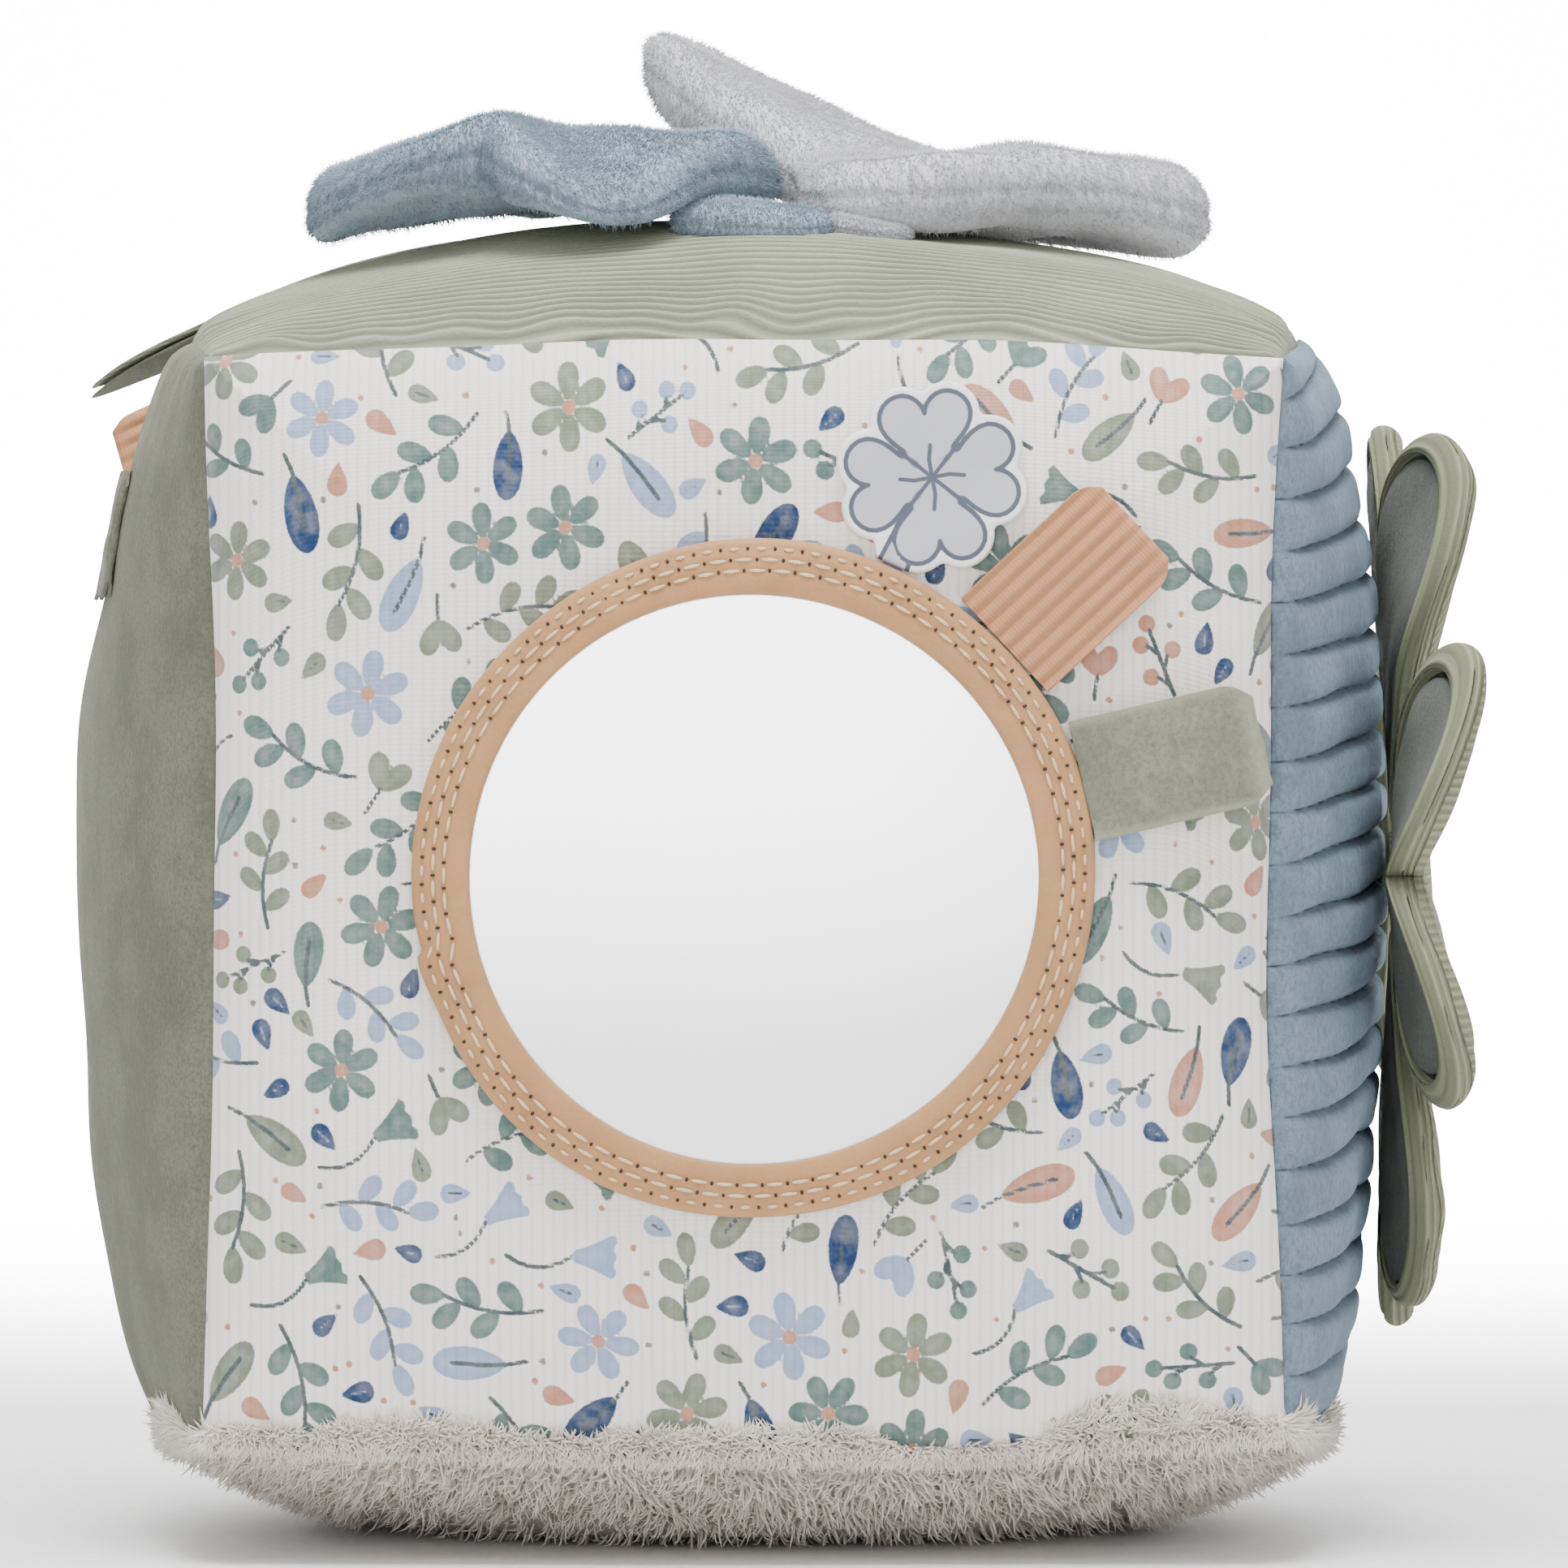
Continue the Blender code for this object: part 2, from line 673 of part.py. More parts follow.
def clover_outline():
    """A four-leaved clover with its stem along -x, round the middle of its leaves."""
    points = []
    stem_end = TAG_CENTRE_OUT
    for index in range(TAG_POINTS):
        turn = 2 * math.pi * index / TAG_POINTS
        leaf = math.radians(TAG_TURN)
        swell = abs(math.cos(2 * (turn - leaf))) ** 0.7
        reach = TAG_LEAF_REACH * (TAG_WAIST_SHARE + (1 - TAG_WAIST_SHARE) * swell)
        off = (turn - leaf + math.pi / 4) % (math.pi / 2) - math.pi / 4
        reach -= TAG_NOTCH * math.exp(-((math.degrees(off) / TAG_NOTCH_SPREAD) ** 2))
        away = turn - math.pi
        if abs(away) < math.pi / 3:
            side = TAG_STEM_HALF / max(abs(math.sin(away)), 1e-9)
            reach = max(reach, min(stem_end / math.cos(away), side))
        points.append((reach * math.cos(turn), reach * math.sin(turn)))
    return points


def add_clover_tag(collection):
    place = face_frame(TAG_BEARING, RING_RADIUS + CLEAR) @ Matrix.Translation((0, 0, TAG_THICK))
    tag = flat_outline("clover_tag", clover_outline(), TAG_THICK, "grey_satin", collection)
    tag.data.transform(Matrix.Translation((TAG_CENTRE_OUT, 0, -TAG_THICK / 2)))
    tag.matrix_world = place
    return tag


def add_side_tab(collection):
    """A flat velour tab that lies along the curved left panel, sewn at its rear end."""
    tab_up = (SIDE_TAB_Z - MIDDLE_Z) / HALF

    def place(s, t, inside):
        along = SIDE_TAB_ROOT_Y - SIDE_TAB_LENGTH * (s + 1) / 2
        up = tab_up + t * SIDE_TAB_WIDTH / 2 / HALF
        lift = 2 * CLEAR + (0 if inside else SIDE_TAB_THICK)
        return panel_point("left", along / HALF, up, HALF, 0, lift)

    tab = slab("side_tab", SIDE_TAB_CELLS, SIDE_TAB_CELLS, place, "sage_velour", collection)
    pivot([tab], place(-1, 0, True))


def corner_root():
    """Where the ribbon at the top left corner behind leaves the seams."""
    out = HALF + CORNER_RIBBON_OUT
    return Vector((-out, out, MIDDLE_Z + HALF - CORNER_RIBBON_OUT))


def add_corner_ribbon(collection, cutters):
    droop = math.radians(CORNER_RIBBON_DROOP)
    along = Vector((-math.cos(droop), 0, -math.sin(droop)))
    up = Vector((0, 1, 0))
    place = frame_matrix(corner_root(), along, up.cross(along), up)
    return add_loop_tab(
        "corner_ribbon",
        CORNER_RIBBON_REACH,
        CORNER_RIBBON_WIDTH,
        RIBBON_LAYER,
        RIBBON_CORNER,
        place,
        "peach_ribbon",
        collection,
        cutters,
    )


def lobe_weights(lobes, turn):
    """How much each lobe counts in a direction: 1 at its bearing, fading to each side."""
    weights = []
    for bearing, _, _ in lobes:
        off = (math.degrees(turn) - bearing + 180) % 360 - 180
        weights.append(math.exp(-((off / LOBE_SPREAD) ** 2)))
    return weights


def plush_point(centre, waist, lobes, turn, share, side, inset, parting):
    """A point of a stuffed leaf's skin: side is 1 above and -1 below its seam."""
    share = spaced(share)
    weights = lobe_weights(lobes, turn)
    reach = waist + sum(w * (lobe[1] - waist) for w, lobe in zip(weights, lobes))
    rise = sum(w * lobe[2] for w, lobe in zip(weights, lobes)) * share**2
    radius = share * (reach - inset)
    swell = (PLUSH_THICK / 2 - inset) * math.sqrt(max(0, 1 - share**PLUSH_FULLNESS))
    return Vector(
        (
            centre[0] + radius * math.cos(turn),
            centre[1] + radius * math.sin(turn),
            centre[2] + rise + side * (swell + parting),
        )
    )


def add_plush_leaf(colour, centre, waist, lobes, collection):
    """Two plush skins sewn at their edge round a thin filling."""
    pieces = []
    for name, side in (("upper", 1), ("lower", -1)):

        def outer(turn, share, side=side):
            return plush_point(centre, waist, lobes, turn, share, side, 0, CLEAR / 2)

        def inner(turn, share, side=side):
            return plush_point(centre, waist, lobes, turn, share, side, PLUSH_SKIN, CLEAR / 2)

        name = f"{colour}_leaf_{name}"
        look = f"{colour}_plush"
        pieces.append(lens(name, PLUSH_SPOKES, PLUSH_RINGS, outer, inner, look, collection))
    inset = PLUSH_SKIN + PLUSH_FILLING_GAP

    def over(turn, share):
        return plush_point(centre, waist, lobes, turn, share, 1, inset, 0)

    def under(turn, share):
        return plush_point(centre, waist, lobes, turn, share, -1, inset, 0)

    name = f"{colour}_leaf_filling"
    look = "white_fibre"
    pieces.append(lens(name, PLUSH_SPOKES, PLUSH_RINGS, over, under, look, collection, rim=False))
    pivot(pieces, Vector((ROOT_TABS[colour][0], PLUSH_HINGE_Y, PLUSH_HINGE_Z)))


def add_root_tab(colour, collection):
    """The sewn root of a plush leaf, a small pad on the top panel in front of its middle."""
    centre_x, centre_y, half_x, half_y, height = ROOT_TABS[colour]

    def place(turn, share, lift):
        x = centre_x + half_x * share * math.cos(turn)
        y = centre_y + half_y * share * math.sin(turn)
        return Vector((x, y, panel_height(x, y) + lift))

    def outer(turn, share):
        return place(turn, share, height * math.sqrt(1 - ROOT_TAB_DOME * share**2))

    def inner(turn, share):
        return place(turn, share, 0)

    lens(f"{colour}_leaf_root", 16, 2, outer, inner, f"{colour}_plush", collection)


def panel_height(x, y):
    """The height of the top panel's outer face at x, y, found by closing in on its s and t."""
    s, t = x / HALF, y / HALF
    for _ in range(4):
        found = panel_point("top", s, t, HALF, 0)
        s = max(-1.0, min(1.0, s + (x - found.x) / HALF))
        t = max(-1.0, min(1.0, t + (y - found.y) / HALF))
    return panel_point("top", s, t, HALF, 0).z


def sage_height(x, y):
    """The sage leaf's underside: on the top panel, then on past the panel's edge, with its tip hanging."""
    if x >= SAGE_LEAVES_PANEL_AT:
        return panel_height(x, y) + SAGE_LIFT
    step = CUT_OVERRUN
    start = panel_height(SAGE_LEAVES_PANEL_AT, y)
    slope = (panel_height(SAGE_LEAVES_PANEL_AT + step, y) - start) / step
    past = (x - SAGE_LEAVES_PANEL_AT) / (SAGE_TIP[0] - SAGE_LEAVES_PANEL_AT)
    return start + SAGE_LIFT + slope * (x - SAGE_LEAVES_PANEL_AT) - SAGE_TIP_SINK * past**2


def sage_point(turn, share, lift, inset):
    """A pointed oval from root to tip, laid on the surface that it follows."""
    root, tip = Vector(SAGE_ROOT), Vector(SAGE_TIP)
    along = (tip - root) / 2
    across = Vector((-along.y, along.x)).normalized()
    length = along.length - inset
    width = (SAGE_HALF_WIDTH - inset) * abs(math.sin(turn)) ** 1.3 * math.copysign(1, math.sin(turn))
    middle = (root + tip) / 2
    flat = middle + along.normalized() * length * share * math.cos(turn) + across * width * share
    return Vector((flat.x, flat.y, sage_height(flat.x, flat.y) + lift))


def add_sage_leaf(collection):
    layers = (
        ("sage_leaf_under", 0, "sage_velour"),
        ("sage_leaf_over", SAGE_LAYER + CLEAR, "sage_cord"),
    )
    for name, base, look in layers:

        def outer(turn, share, base=base):
            return sage_point(turn, share, base + SAGE_LAYER, 0)

        def inner(turn, share, base=base):
            return sage_point(turn, share, base, 0)

        leaf = lens(name, SAGE_SPOKES, SAGE_RINGS, outer, inner, look, collection)
        pivot([leaf], Vector((*SAGE_ROOT, sage_height(*SAGE_ROOT))))


def clover_base_x():
    """The underside of the clover flap at its centre, just clear of the ribs' crests."""
    return panel_point("right", 0, 0, HALF, 0, RIB_HEIGHT).x + CLEAR


def heart(turn):
    """The well-known heart curve: its notch is at turn 0 and its point at half a turn."""
    x = 16 * math.sin(turn) ** 3
    y = (
        13 * math.cos(turn)
        - 5 * math.cos(2 * turn)
        - 2 * math.cos(3 * turn)
        - math.cos(4 * turn)
    )
    return x / 16, (y + 17) / 29


def clover_point(leaf, turn, share, lift, inset):
    """A point of one heart-shaped leaf, folded along its midrib so that its lobes stand out."""
    _, bearing, droop, first_rise, second_rise = leaf
    across, along = heart(turn)
    middle = 0.55
    across = across * share
    along = middle + (along - middle) * share
    out = CLOVER_LEAF_ROOT + inset + along * (CLOVER_LEAF_REACH - CLOVER_LEAF_ROOT - 2 * inset)
    wide = across * (CLOVER_HALF_WIDTH - inset)
    begun = min(1.0, max(0.0, (out - CLOVER_FOLD_FROM) / CLOVER_FOLD_OVER))
    begun = begun * begun * (3 - 2 * begun)
    rise = first_rise if wide > 0 else second_rise
    fold = rise * math.sin(min(1.0, abs(wide) / CLOVER_HALF_WIDTH) * math.pi / 2) * begun
    swing = math.radians(bearing)
    away = Vector((0, math.cos(swing), math.sin(swing)))
    side = Vector((0, -math.sin(swing), math.cos(swing)))
    sink = droop * (out / CLOVER_DROOP_AT) ** 2
    point = away * out + side * wide
    point.x = clover_base_x() - sink + fold + lift
    point.z += CLOVER_Z
    return point


def add_clover(collection):
    """Four padded leaves, each a cord face and a velour back round a crinkle film."""
    film_base = CLOVER_BACK_THICK + CLOVER_FILM_GAP
    face_base = film_base + CLOVER_FILM_THICK + CLOVER_FILM_GAP
    layers = (
        ("back", 0, CLOVER_BACK_THICK, 0, "grey_velour"),
        ("film", film_base, CLOVER_FILM_THICK, CLOVER_FILM_INSET, "crinkle_film"),
        ("face", face_base, CLOVER_FACE_THICK, 0, "sage_cord"),
    )
    for leaf in CLOVER_LEAVES:
        swing = math.radians(leaf[1])
        up = clover_base_x() + face_base + CLOVER_FACE_THICK
        root = Vector((up, CLOVER_LEAF_ROOT * math.cos(swing), CLOVER_LEAF_ROOT * math.sin(swing)))
        root.z += CLOVER_Z
        for layer, base, thick, inset, look in layers:

            def outer(turn, share, leaf=leaf, lift=base + thick, inset=inset):
                return clover_point(leaf, turn, share, lift, inset)

            def inner(turn, share, leaf=leaf, lift=base, inset=inset):
                return clover_point(leaf, turn, share, lift, inset)

            name = f"clover_{leaf[0]}_{layer}"
            made = lens(name, CLOVER_SPOKES, CLOVER_RINGS, outer, inner, look, collection)
            pivot([made], root)
    thick = face_base + CLOVER_FACE_THICK
    profile = [
        (0, thick),
        (CLOVER_CENTRE_RADIUS - CLEAR, thick),
        (CLOVER_CENTRE_RADIUS, thick - CLEAR),
        (CLOVER_CENTRE_RADIUS, 0),
        (0, 0),
    ]
    centre = turned("clover_centre", profile, "sage_cord", collection)
    centre.matrix_world = frame_matrix(
        Vector((clover_base_x(), 0, CLOVER_Z)), Vector((0, 1, 0)), Vector((0, 0, 1)), Vector((1, 0, 0))
    )


def main():
    clear_scene()
    collection = new_collection("soft_fabric_block")
    cutters = new_collection("cutters")
    add_front_panel(collection)
    add_plain_panel("back", "printed_jersey", collection)
    add_plain_panel("left", "sage_velour", collection)
    add_plain_panel("top", "sage_cord", collection)
    add_plain_panel("bottom", "cream_plush", collection)
    add_ribbed_panel(collection)
    add_core(collection, cutters)
    add_filling_plug(collection)
    add_rattle(collection)
    add_mirror(collection)
    root = RING_RADIUS + CLEAR
    add_loop_tab(
        "ribbon_loop",
        RIBBON_REACH,
        RIBBON_WIDTH,
        RIBBON_LAYER,
        RIBBON_CORNER,
        face_frame(RIBBON_BEARING, root),
        "peach_ribbon",
        collection,
        cutters,
    )
    add_loop_tab(
        "velour_loop",
        VELOUR_REACH,
        VELOUR_WIDTH,
        VELOUR_LAYER,
        VELOUR_CORNER,
        face_frame(VELOUR_BEARING, root, VELOUR_LEAN),
        "sage_velour",
        collection,
        cutters,
    )
    add_clover_tag(collection)
    add_side_tab(collection)
    add_corner_ribbon(collection, cutters)
    add_plush_leaf("blue", BLUE_CENTRE, BLUE_WAIST, BLUE_LOBES, collection)
    add_plush_leaf("grey", GREY_CENTRE, GREY_WAIST, GREY_LOBES, collection)
    for colour in ROOT_TABS:
        add_root_tab(colour, collection)
    add_sage_leaf(collection)
    add_clover(collection)


main()
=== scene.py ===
"""Dresses the soft fabric block: printed jersey, cord, velour, plush, trims, light and camera.

Lengths are metres, +Z is up and the mirror faces -Y. Every surface is worked out with numpy as a
function of two parameters on a grid, and every finish is made of nodes on Object coordinates or on
an attribute of the piece itself.
"""
import logging
import math
from dataclasses import dataclass, field
from enum import Enum
from typing import Callable, Iterable, Mapping, Optional, Sequence

import bmesh
import bpy
import numpy as np
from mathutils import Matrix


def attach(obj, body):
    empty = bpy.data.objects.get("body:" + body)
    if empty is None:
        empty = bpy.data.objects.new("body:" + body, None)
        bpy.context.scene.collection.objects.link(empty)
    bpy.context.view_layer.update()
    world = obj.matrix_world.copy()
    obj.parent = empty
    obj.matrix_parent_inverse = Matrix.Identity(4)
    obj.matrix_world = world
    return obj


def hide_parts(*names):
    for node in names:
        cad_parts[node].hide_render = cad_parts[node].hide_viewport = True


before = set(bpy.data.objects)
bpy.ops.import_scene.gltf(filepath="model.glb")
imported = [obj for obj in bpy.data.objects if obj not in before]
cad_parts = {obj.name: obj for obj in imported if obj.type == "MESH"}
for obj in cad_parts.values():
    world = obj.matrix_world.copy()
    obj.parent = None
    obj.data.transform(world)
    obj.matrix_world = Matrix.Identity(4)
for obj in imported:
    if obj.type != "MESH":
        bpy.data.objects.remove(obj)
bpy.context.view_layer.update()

Array = np.ndarray
Piece = bpy.types.Object
Socket = bpy.types.NodeSocket
Colour = tuple[float, float, float]
log = logging.getLogger("soft_block")
MM = 0.001


def srgb(red: int, green: int, blue: int) -> Colour:
    """Turns a display colour into the linear colour that a shader takes.

    Args:
        red, green, blue: The channels, from 0 to 255.

    Returns:
        The linear channels, from 0 to 1.
    """
    return tuple(
        c / 12.92 if c <= 0.04045 else ((c + 0.055) / 1.055) ** 2.4
        for c in (red / 255, green / 255, blue / 255)
    )


# Arrays and surfaces


def unit(vectors: Array) -> Array:
    """Vectors divided by their lengths, along the last axis."""
    return vectors / np.maximum(np.linalg.norm(vectors, axis=-1, keepdims=True), 1e-12)


def swell(place: Array, wavelength: float, seed: int, waves: int = 7) -> Array:
    """Smooth random relief: the mean of plane sine waves with seeded directions and phases.

    Args:
        place: Points, (..., 2) or (..., 3), in metres.
        wavelength: The middle wavelength in metres.
        seed: Picks the waves.
        waves: How many sine waves are added.

    Returns:
        Heights of about -1 to 1.
    """
    rng = np.random.default_rng(seed)
    directions = unit(rng.normal(size=(waves, place.shape[-1])))
    lengths = wavelength * rng.uniform(0.6, 1.6, waves)
    phases = rng.uniform(0, 2 * np.pi, waves)
    angles = place @ (directions / lengths[:, None]).T * 2 * np.pi + phases
    return np.sin(angles).sum(-1) / math.sqrt(waves)


def smooth(values: Array, low: float, high: float) -> Array:
    """The smooth step 3x^2 - 2x^3 of values between low and high."""
    x = np.clip((values - low) / (high - low), 0, 1)
    return x * x * (3 - 2 * x)


def hump(values: Array, width: float) -> Array:
    """The bell curve exp(-(values / width)^2)."""
    return np.exp(-((values / width) ** 2))


def vectors(*parts: Array | float) -> Array:
    """Vectors from their coordinates, which are broadcast together."""
    return np.stack(np.broadcast_arrays(*parts), -1)


def turns(count: int) -> Array:
    """Evenly spaced angles round a full circle."""
    return np.linspace(0, 2 * np.pi, count, endpoint=False)


def crossed(rows: Array, columns: Array) -> Sequence[Array]:
    """Both parameters at every point of a grid."""
    return np.meshgrid(rows, columns, indexing="ij")


def grid_faces(rows: int, columns: int, round_rows: bool = False, round_columns: bool = False) -> Array:
    """The four corners of each face of a grid of points, counted row by row.

    Args:
        rows, columns: The size of the grid of points.
        round_rows, round_columns: Whether the last row or column joins the first.

    Returns:
        (n, 4) indices.
    """
    i = np.arange(rows if round_rows else rows - 1)
    j = np.arange(columns if round_columns else columns - 1)
    i, j = crossed(i, j)
    after_i, after_j = (i + 1) % rows, (j + 1) % columns
    corners = [i * columns + j, after_i * columns + j, after_i * columns + after_j, i * columns + after_j]
    return np.stack(corners, -1).reshape(-1, 4)


def make_piece(name: str, points: Array, faces: Array, finish: "Finish") -> Piece:
    """Makes a mesh object at the origin from points and four-cornered faces.

    Args:
        name: The object's name.
        points: (n, 3) places in metres.
        faces: (m, 4) indices, or (m, 3).
        finish: What the surface is made of.

    Returns:
        The new object, in the scene.
    """
    mesh = bpy.data.meshes.new(name)
    sides = faces.shape[1]
    mesh.vertices.add(len(points))
    mesh.vertices.foreach_set("co", points.astype(np.float32).ravel())
    mesh.loops.add(faces.size)
    mesh.loops.foreach_set("vertex_index", faces.astype(np.int32).ravel())
    mesh.polygons.add(len(faces))
    mesh.polygons.foreach_set("loop_start", np.arange(0, faces.size, sides, dtype=np.int32))
    mesh.polygons.foreach_set("loop_total", np.full(len(faces), sides, dtype=np.int32))
    mesh.update(calc_edges=True)
    mesh.validate()
    mesh.shade_smooth()
    mesh.materials.append(finish.material())
    piece = bpy.data.objects.new(name, mesh)
    bpy.context.scene.collection.objects.link(piece)
    return piece


def turn_outwards(piece: Piece) -> None:
    """Merges a closed mesh's doubled poles and points its faces outwards."""
    bm = bmesh.new()
    bm.from_mesh(piece.data)
    bmesh.ops.remove_doubles(bm, verts=bm.verts[:], dist=1e-7)
    bmesh.ops.recalc_face_normals(bm, faces=bm.faces[:])
    if bm.calc_volume(signed=True) < 0:
        bmesh.ops.reverse_faces(bm, faces=bm.faces[:])
    bm.to_mesh(piece.data)
    bm.free()
    piece.data.shade_smooth()


def sheet_piece(name: str, grid: Array, outward: Array, finish: "Finish") -> Piece:
    """Makes an open sheet from a (rows, columns, 3) grid, with its faces towards outward.

    Args:
        name: The object's name.
        grid: The grid of points.
        outward: One direction that the sheet's middle faces.
        finish: What the surface is made of.

    Returns:
        The new object.
    """
    rows, columns = grid.shape[:2]
    i, j = rows // 2, columns // 2
    facing = np.cross(grid[i, j] - grid[i - 1, j], grid[i, j] - grid[i, j - 1])
    faces = grid_faces(rows, columns)
    if facing @ np.asarray(outward) < 0:
        faces = faces[:, ::-1]
    return make_piece(name, grid.reshape(-1, 3), faces, finish)


def closed_piece(name: str, grid: Array, finish: "Finish", round_rows: bool = False) -> Piece:
    """Makes a closed shape from a grid whose columns go round and whose end rows close or join.

    Args:
        name: The object's name.
        grid: (rows, columns, 3) points; each row is a ring.
        finish: What the surface is made of.
        round_rows: Whether the last ring joins the first; otherwise the end rings are poles.

    Returns:
        The new object.
    """
    rows, columns = grid.shape[:2]
    faces = grid_faces(rows, columns, round_rows, True)
    piece = make_piece(name, grid.reshape(-1, 3), faces, finish)
    turn_outwards(piece)
    return piece


def vertex_places(piece: Piece) -> Array:
    """The (n, 3) places of a piece's vertices."""
    found = np.zeros(len(piece.data.vertices) * 3)
    piece.data.vertices.foreach_get("co", found)
    return found.reshape(-1, 3)


def wall(piece: Piece, thickness: float, offset: float = -1) -> None:
    """Gives a sheet its thickness, inwards unless offset says otherwise."""
    made = piece.modifiers.new("wall", "SOLIDIFY")
    made.thickness = thickness
    made.offset = offset
    made.use_rim = True
    made.use_even_offset = False


def capsules(starts: Array, ends: Array, radius: float, lift: Array, around: int = 6) -> tuple[Array, Array]:
    """Many short threads: each is a tube with closed ends that arches along lift.

    For a from 0 to 1 the tube's radius is radius sin(pi a)^0.4, which is 0 at both ends, and its
    middle is start + (end - start) a + lift sin(pi a).

    Args:
        starts, ends: (n, 3) ends of the threads.
        radius: The thread's radius.
        lift: (n, 3) how far each middle stands out.
        around: Points round the thread.

    Returns:
        Points and faces of all the threads.
    """
    steps = np.array([0.0, 0.12, 0.5, 0.88, 1.0])
    ring = turns(around)
    along = unit(ends - starts)
    up = unit(lift)
    side = np.cross(along, up)
    a = steps[None, :, None]
    middle = starts[:, None] + (ends - starts)[:, None] * a + lift[:, None] * np.sin(np.pi * a)
    wide = radius * np.clip(np.sin(np.pi * steps) - 1e-9, 0, 1) ** 0.4
    around_it = np.cos(ring)[None, :, None] * side[:, None] + np.sin(ring)[None, :, None] * up[:, None]
    points = middle[:, :, None] + around_it[:, None] * wide[None, :, None, None]
    count = len(starts)
    one = grid_faces(len(steps), around, round_columns=True)
    shift = (np.arange(count) * len(steps) * around)[:, None, None]
    faces = (one[None] + shift).reshape(-1, 4)
    return points.reshape(-1, 3), faces


def nap(under: Piece, finish: "Finish", name: str, count: int, length: float, width: float,
        seed: int) -> Piece:
    """Short pile on a piece: closed three-sided spikes that are combed down and forwards.

    Args:
        under: The piece that the pile grows on.
        finish: What the pile is made of.
        name: The pile's name.
        count: How many spikes, spread evenly by area, but with few where the piece looks down.
        length, width: A spike's mean length and its half-width at the root.
        seed: Picks the places and the swirls.

    Returns:
        The pile's object.
    """
    share_below, sunk = 0.12, 0.1 * MM
    mesh = under.data
    mesh.calc_loop_triangles()
    corner = np.zeros(len(mesh.loop_triangles) * 3, np.int32)
    mesh.loop_triangles.foreach_get("vertices", corner)
    triangle = vertex_places(under)[corner.reshape(-1, 3)]
    cross = np.cross(triangle[:, 1] - triangle[:, 0], triangle[:, 2] - triangle[:, 0])
    area = np.linalg.norm(cross, axis=1)
    area = area * np.where(cross[:, 2] < -0.5 * area, share_below, 1.0)
    rng = np.random.default_rng(seed)
    pick = rng.choice(len(area), count, p=area / area.sum())
    a, b = np.sqrt(rng.random((count, 1))), rng.random((count, 1))
    root = triangle[pick, 0] * (1 - a) + triangle[pick, 1] * a * (1 - b) + triangle[pick, 2] * a * b
    normal = unit(cross[pick])
    swirl = vectors(*(swell(root, 30 * MM, seed + k) for k in range(3)))
    flow = np.array([0.35, -0.5, -0.8]) + 0.45 * swirl
    flow = flow - (flow * normal).sum(-1, keepdims=True) * normal
    lean = unit(normal * 0.6 + flow * 0.7 + 0.22 * rng.normal(size=root.shape))
    side = unit(np.cross(lean, normal + 1e-6))
    other = np.cross(lean, side)
    ring = turns(3)[:, None]
    spread = (np.cos(ring) * side[:, None] + np.sin(ring) * other[:, None]) * width
    long = length * rng.uniform(0.6, 1.25, (count, 1))
    base = root[:, None] - normal[:, None] * sunk + spread
    points = np.concatenate([base, (root + lean * long)[:, None]], 1)
    sides = np.array([[0, 1, 3], [1, 2, 3], [2, 0, 3], [2, 1, 0]])
    if np.linalg.det(points[0, 1:] - points[0, 0]) < 0:
        sides = sides[:, ::-1]
    faces = (sides[None] + (np.arange(count) * 4)[:, None, None]).reshape(-1, 3)
    return make_piece(name, points.reshape(-1, 3), faces, finish)


def signed_distance(points: Array, outline: Array) -> Array:
    """How far points lie from a closed outline, with less than 0 inside.

    The distance is the least over the edges of the length to the nearest point of the edge; a point
    is inside where a ray along +x crosses the edges an odd number of times.

    Args:
        points: (n, 2) places.
        outline: (m, 2) corners in order.

    Returns:
        (n,) distances.
    """
    start, end = outline, np.roll(outline, -1, axis=0)
    edge = end - start
    rel = points[:, None] - start[None]
    share = np.clip((rel * edge).sum(-1) / np.maximum((edge**2).sum(-1), 1e-18), 0, 1)
    near = np.linalg.norm(rel - share[..., None] * edge, axis=-1).min(1)
    y = points[:, 1:2]
    crosses = (start[None, :, 1] > y) != (end[None, :, 1] > y)
    height = np.where(np.abs(edge[:, 1]) < 1e-12, 1e-12, edge[:, 1])
    at = start[None, :, 0] + (y - start[None, :, 1]) / height * edge[None, :, 0]
    inside = (crosses & (points[:, 0:1] < at)).sum(1) % 2 == 1
    return np.where(inside, -near, near)


def line_distance(points: Array, path: Array) -> Array:
    """How far points lie from an open path of (m, 2) corners."""
    start, edge = path[:-1], np.diff(path, axis=0)
    rel = points[:, None] - start[None]
    share = np.clip((rel * edge).sum(-1) / np.maximum((edge**2).sum(-1), 1e-18), 0, 1)
    return np.linalg.norm(rel - share[..., None] * edge, axis=-1).min(1)


# Finishes


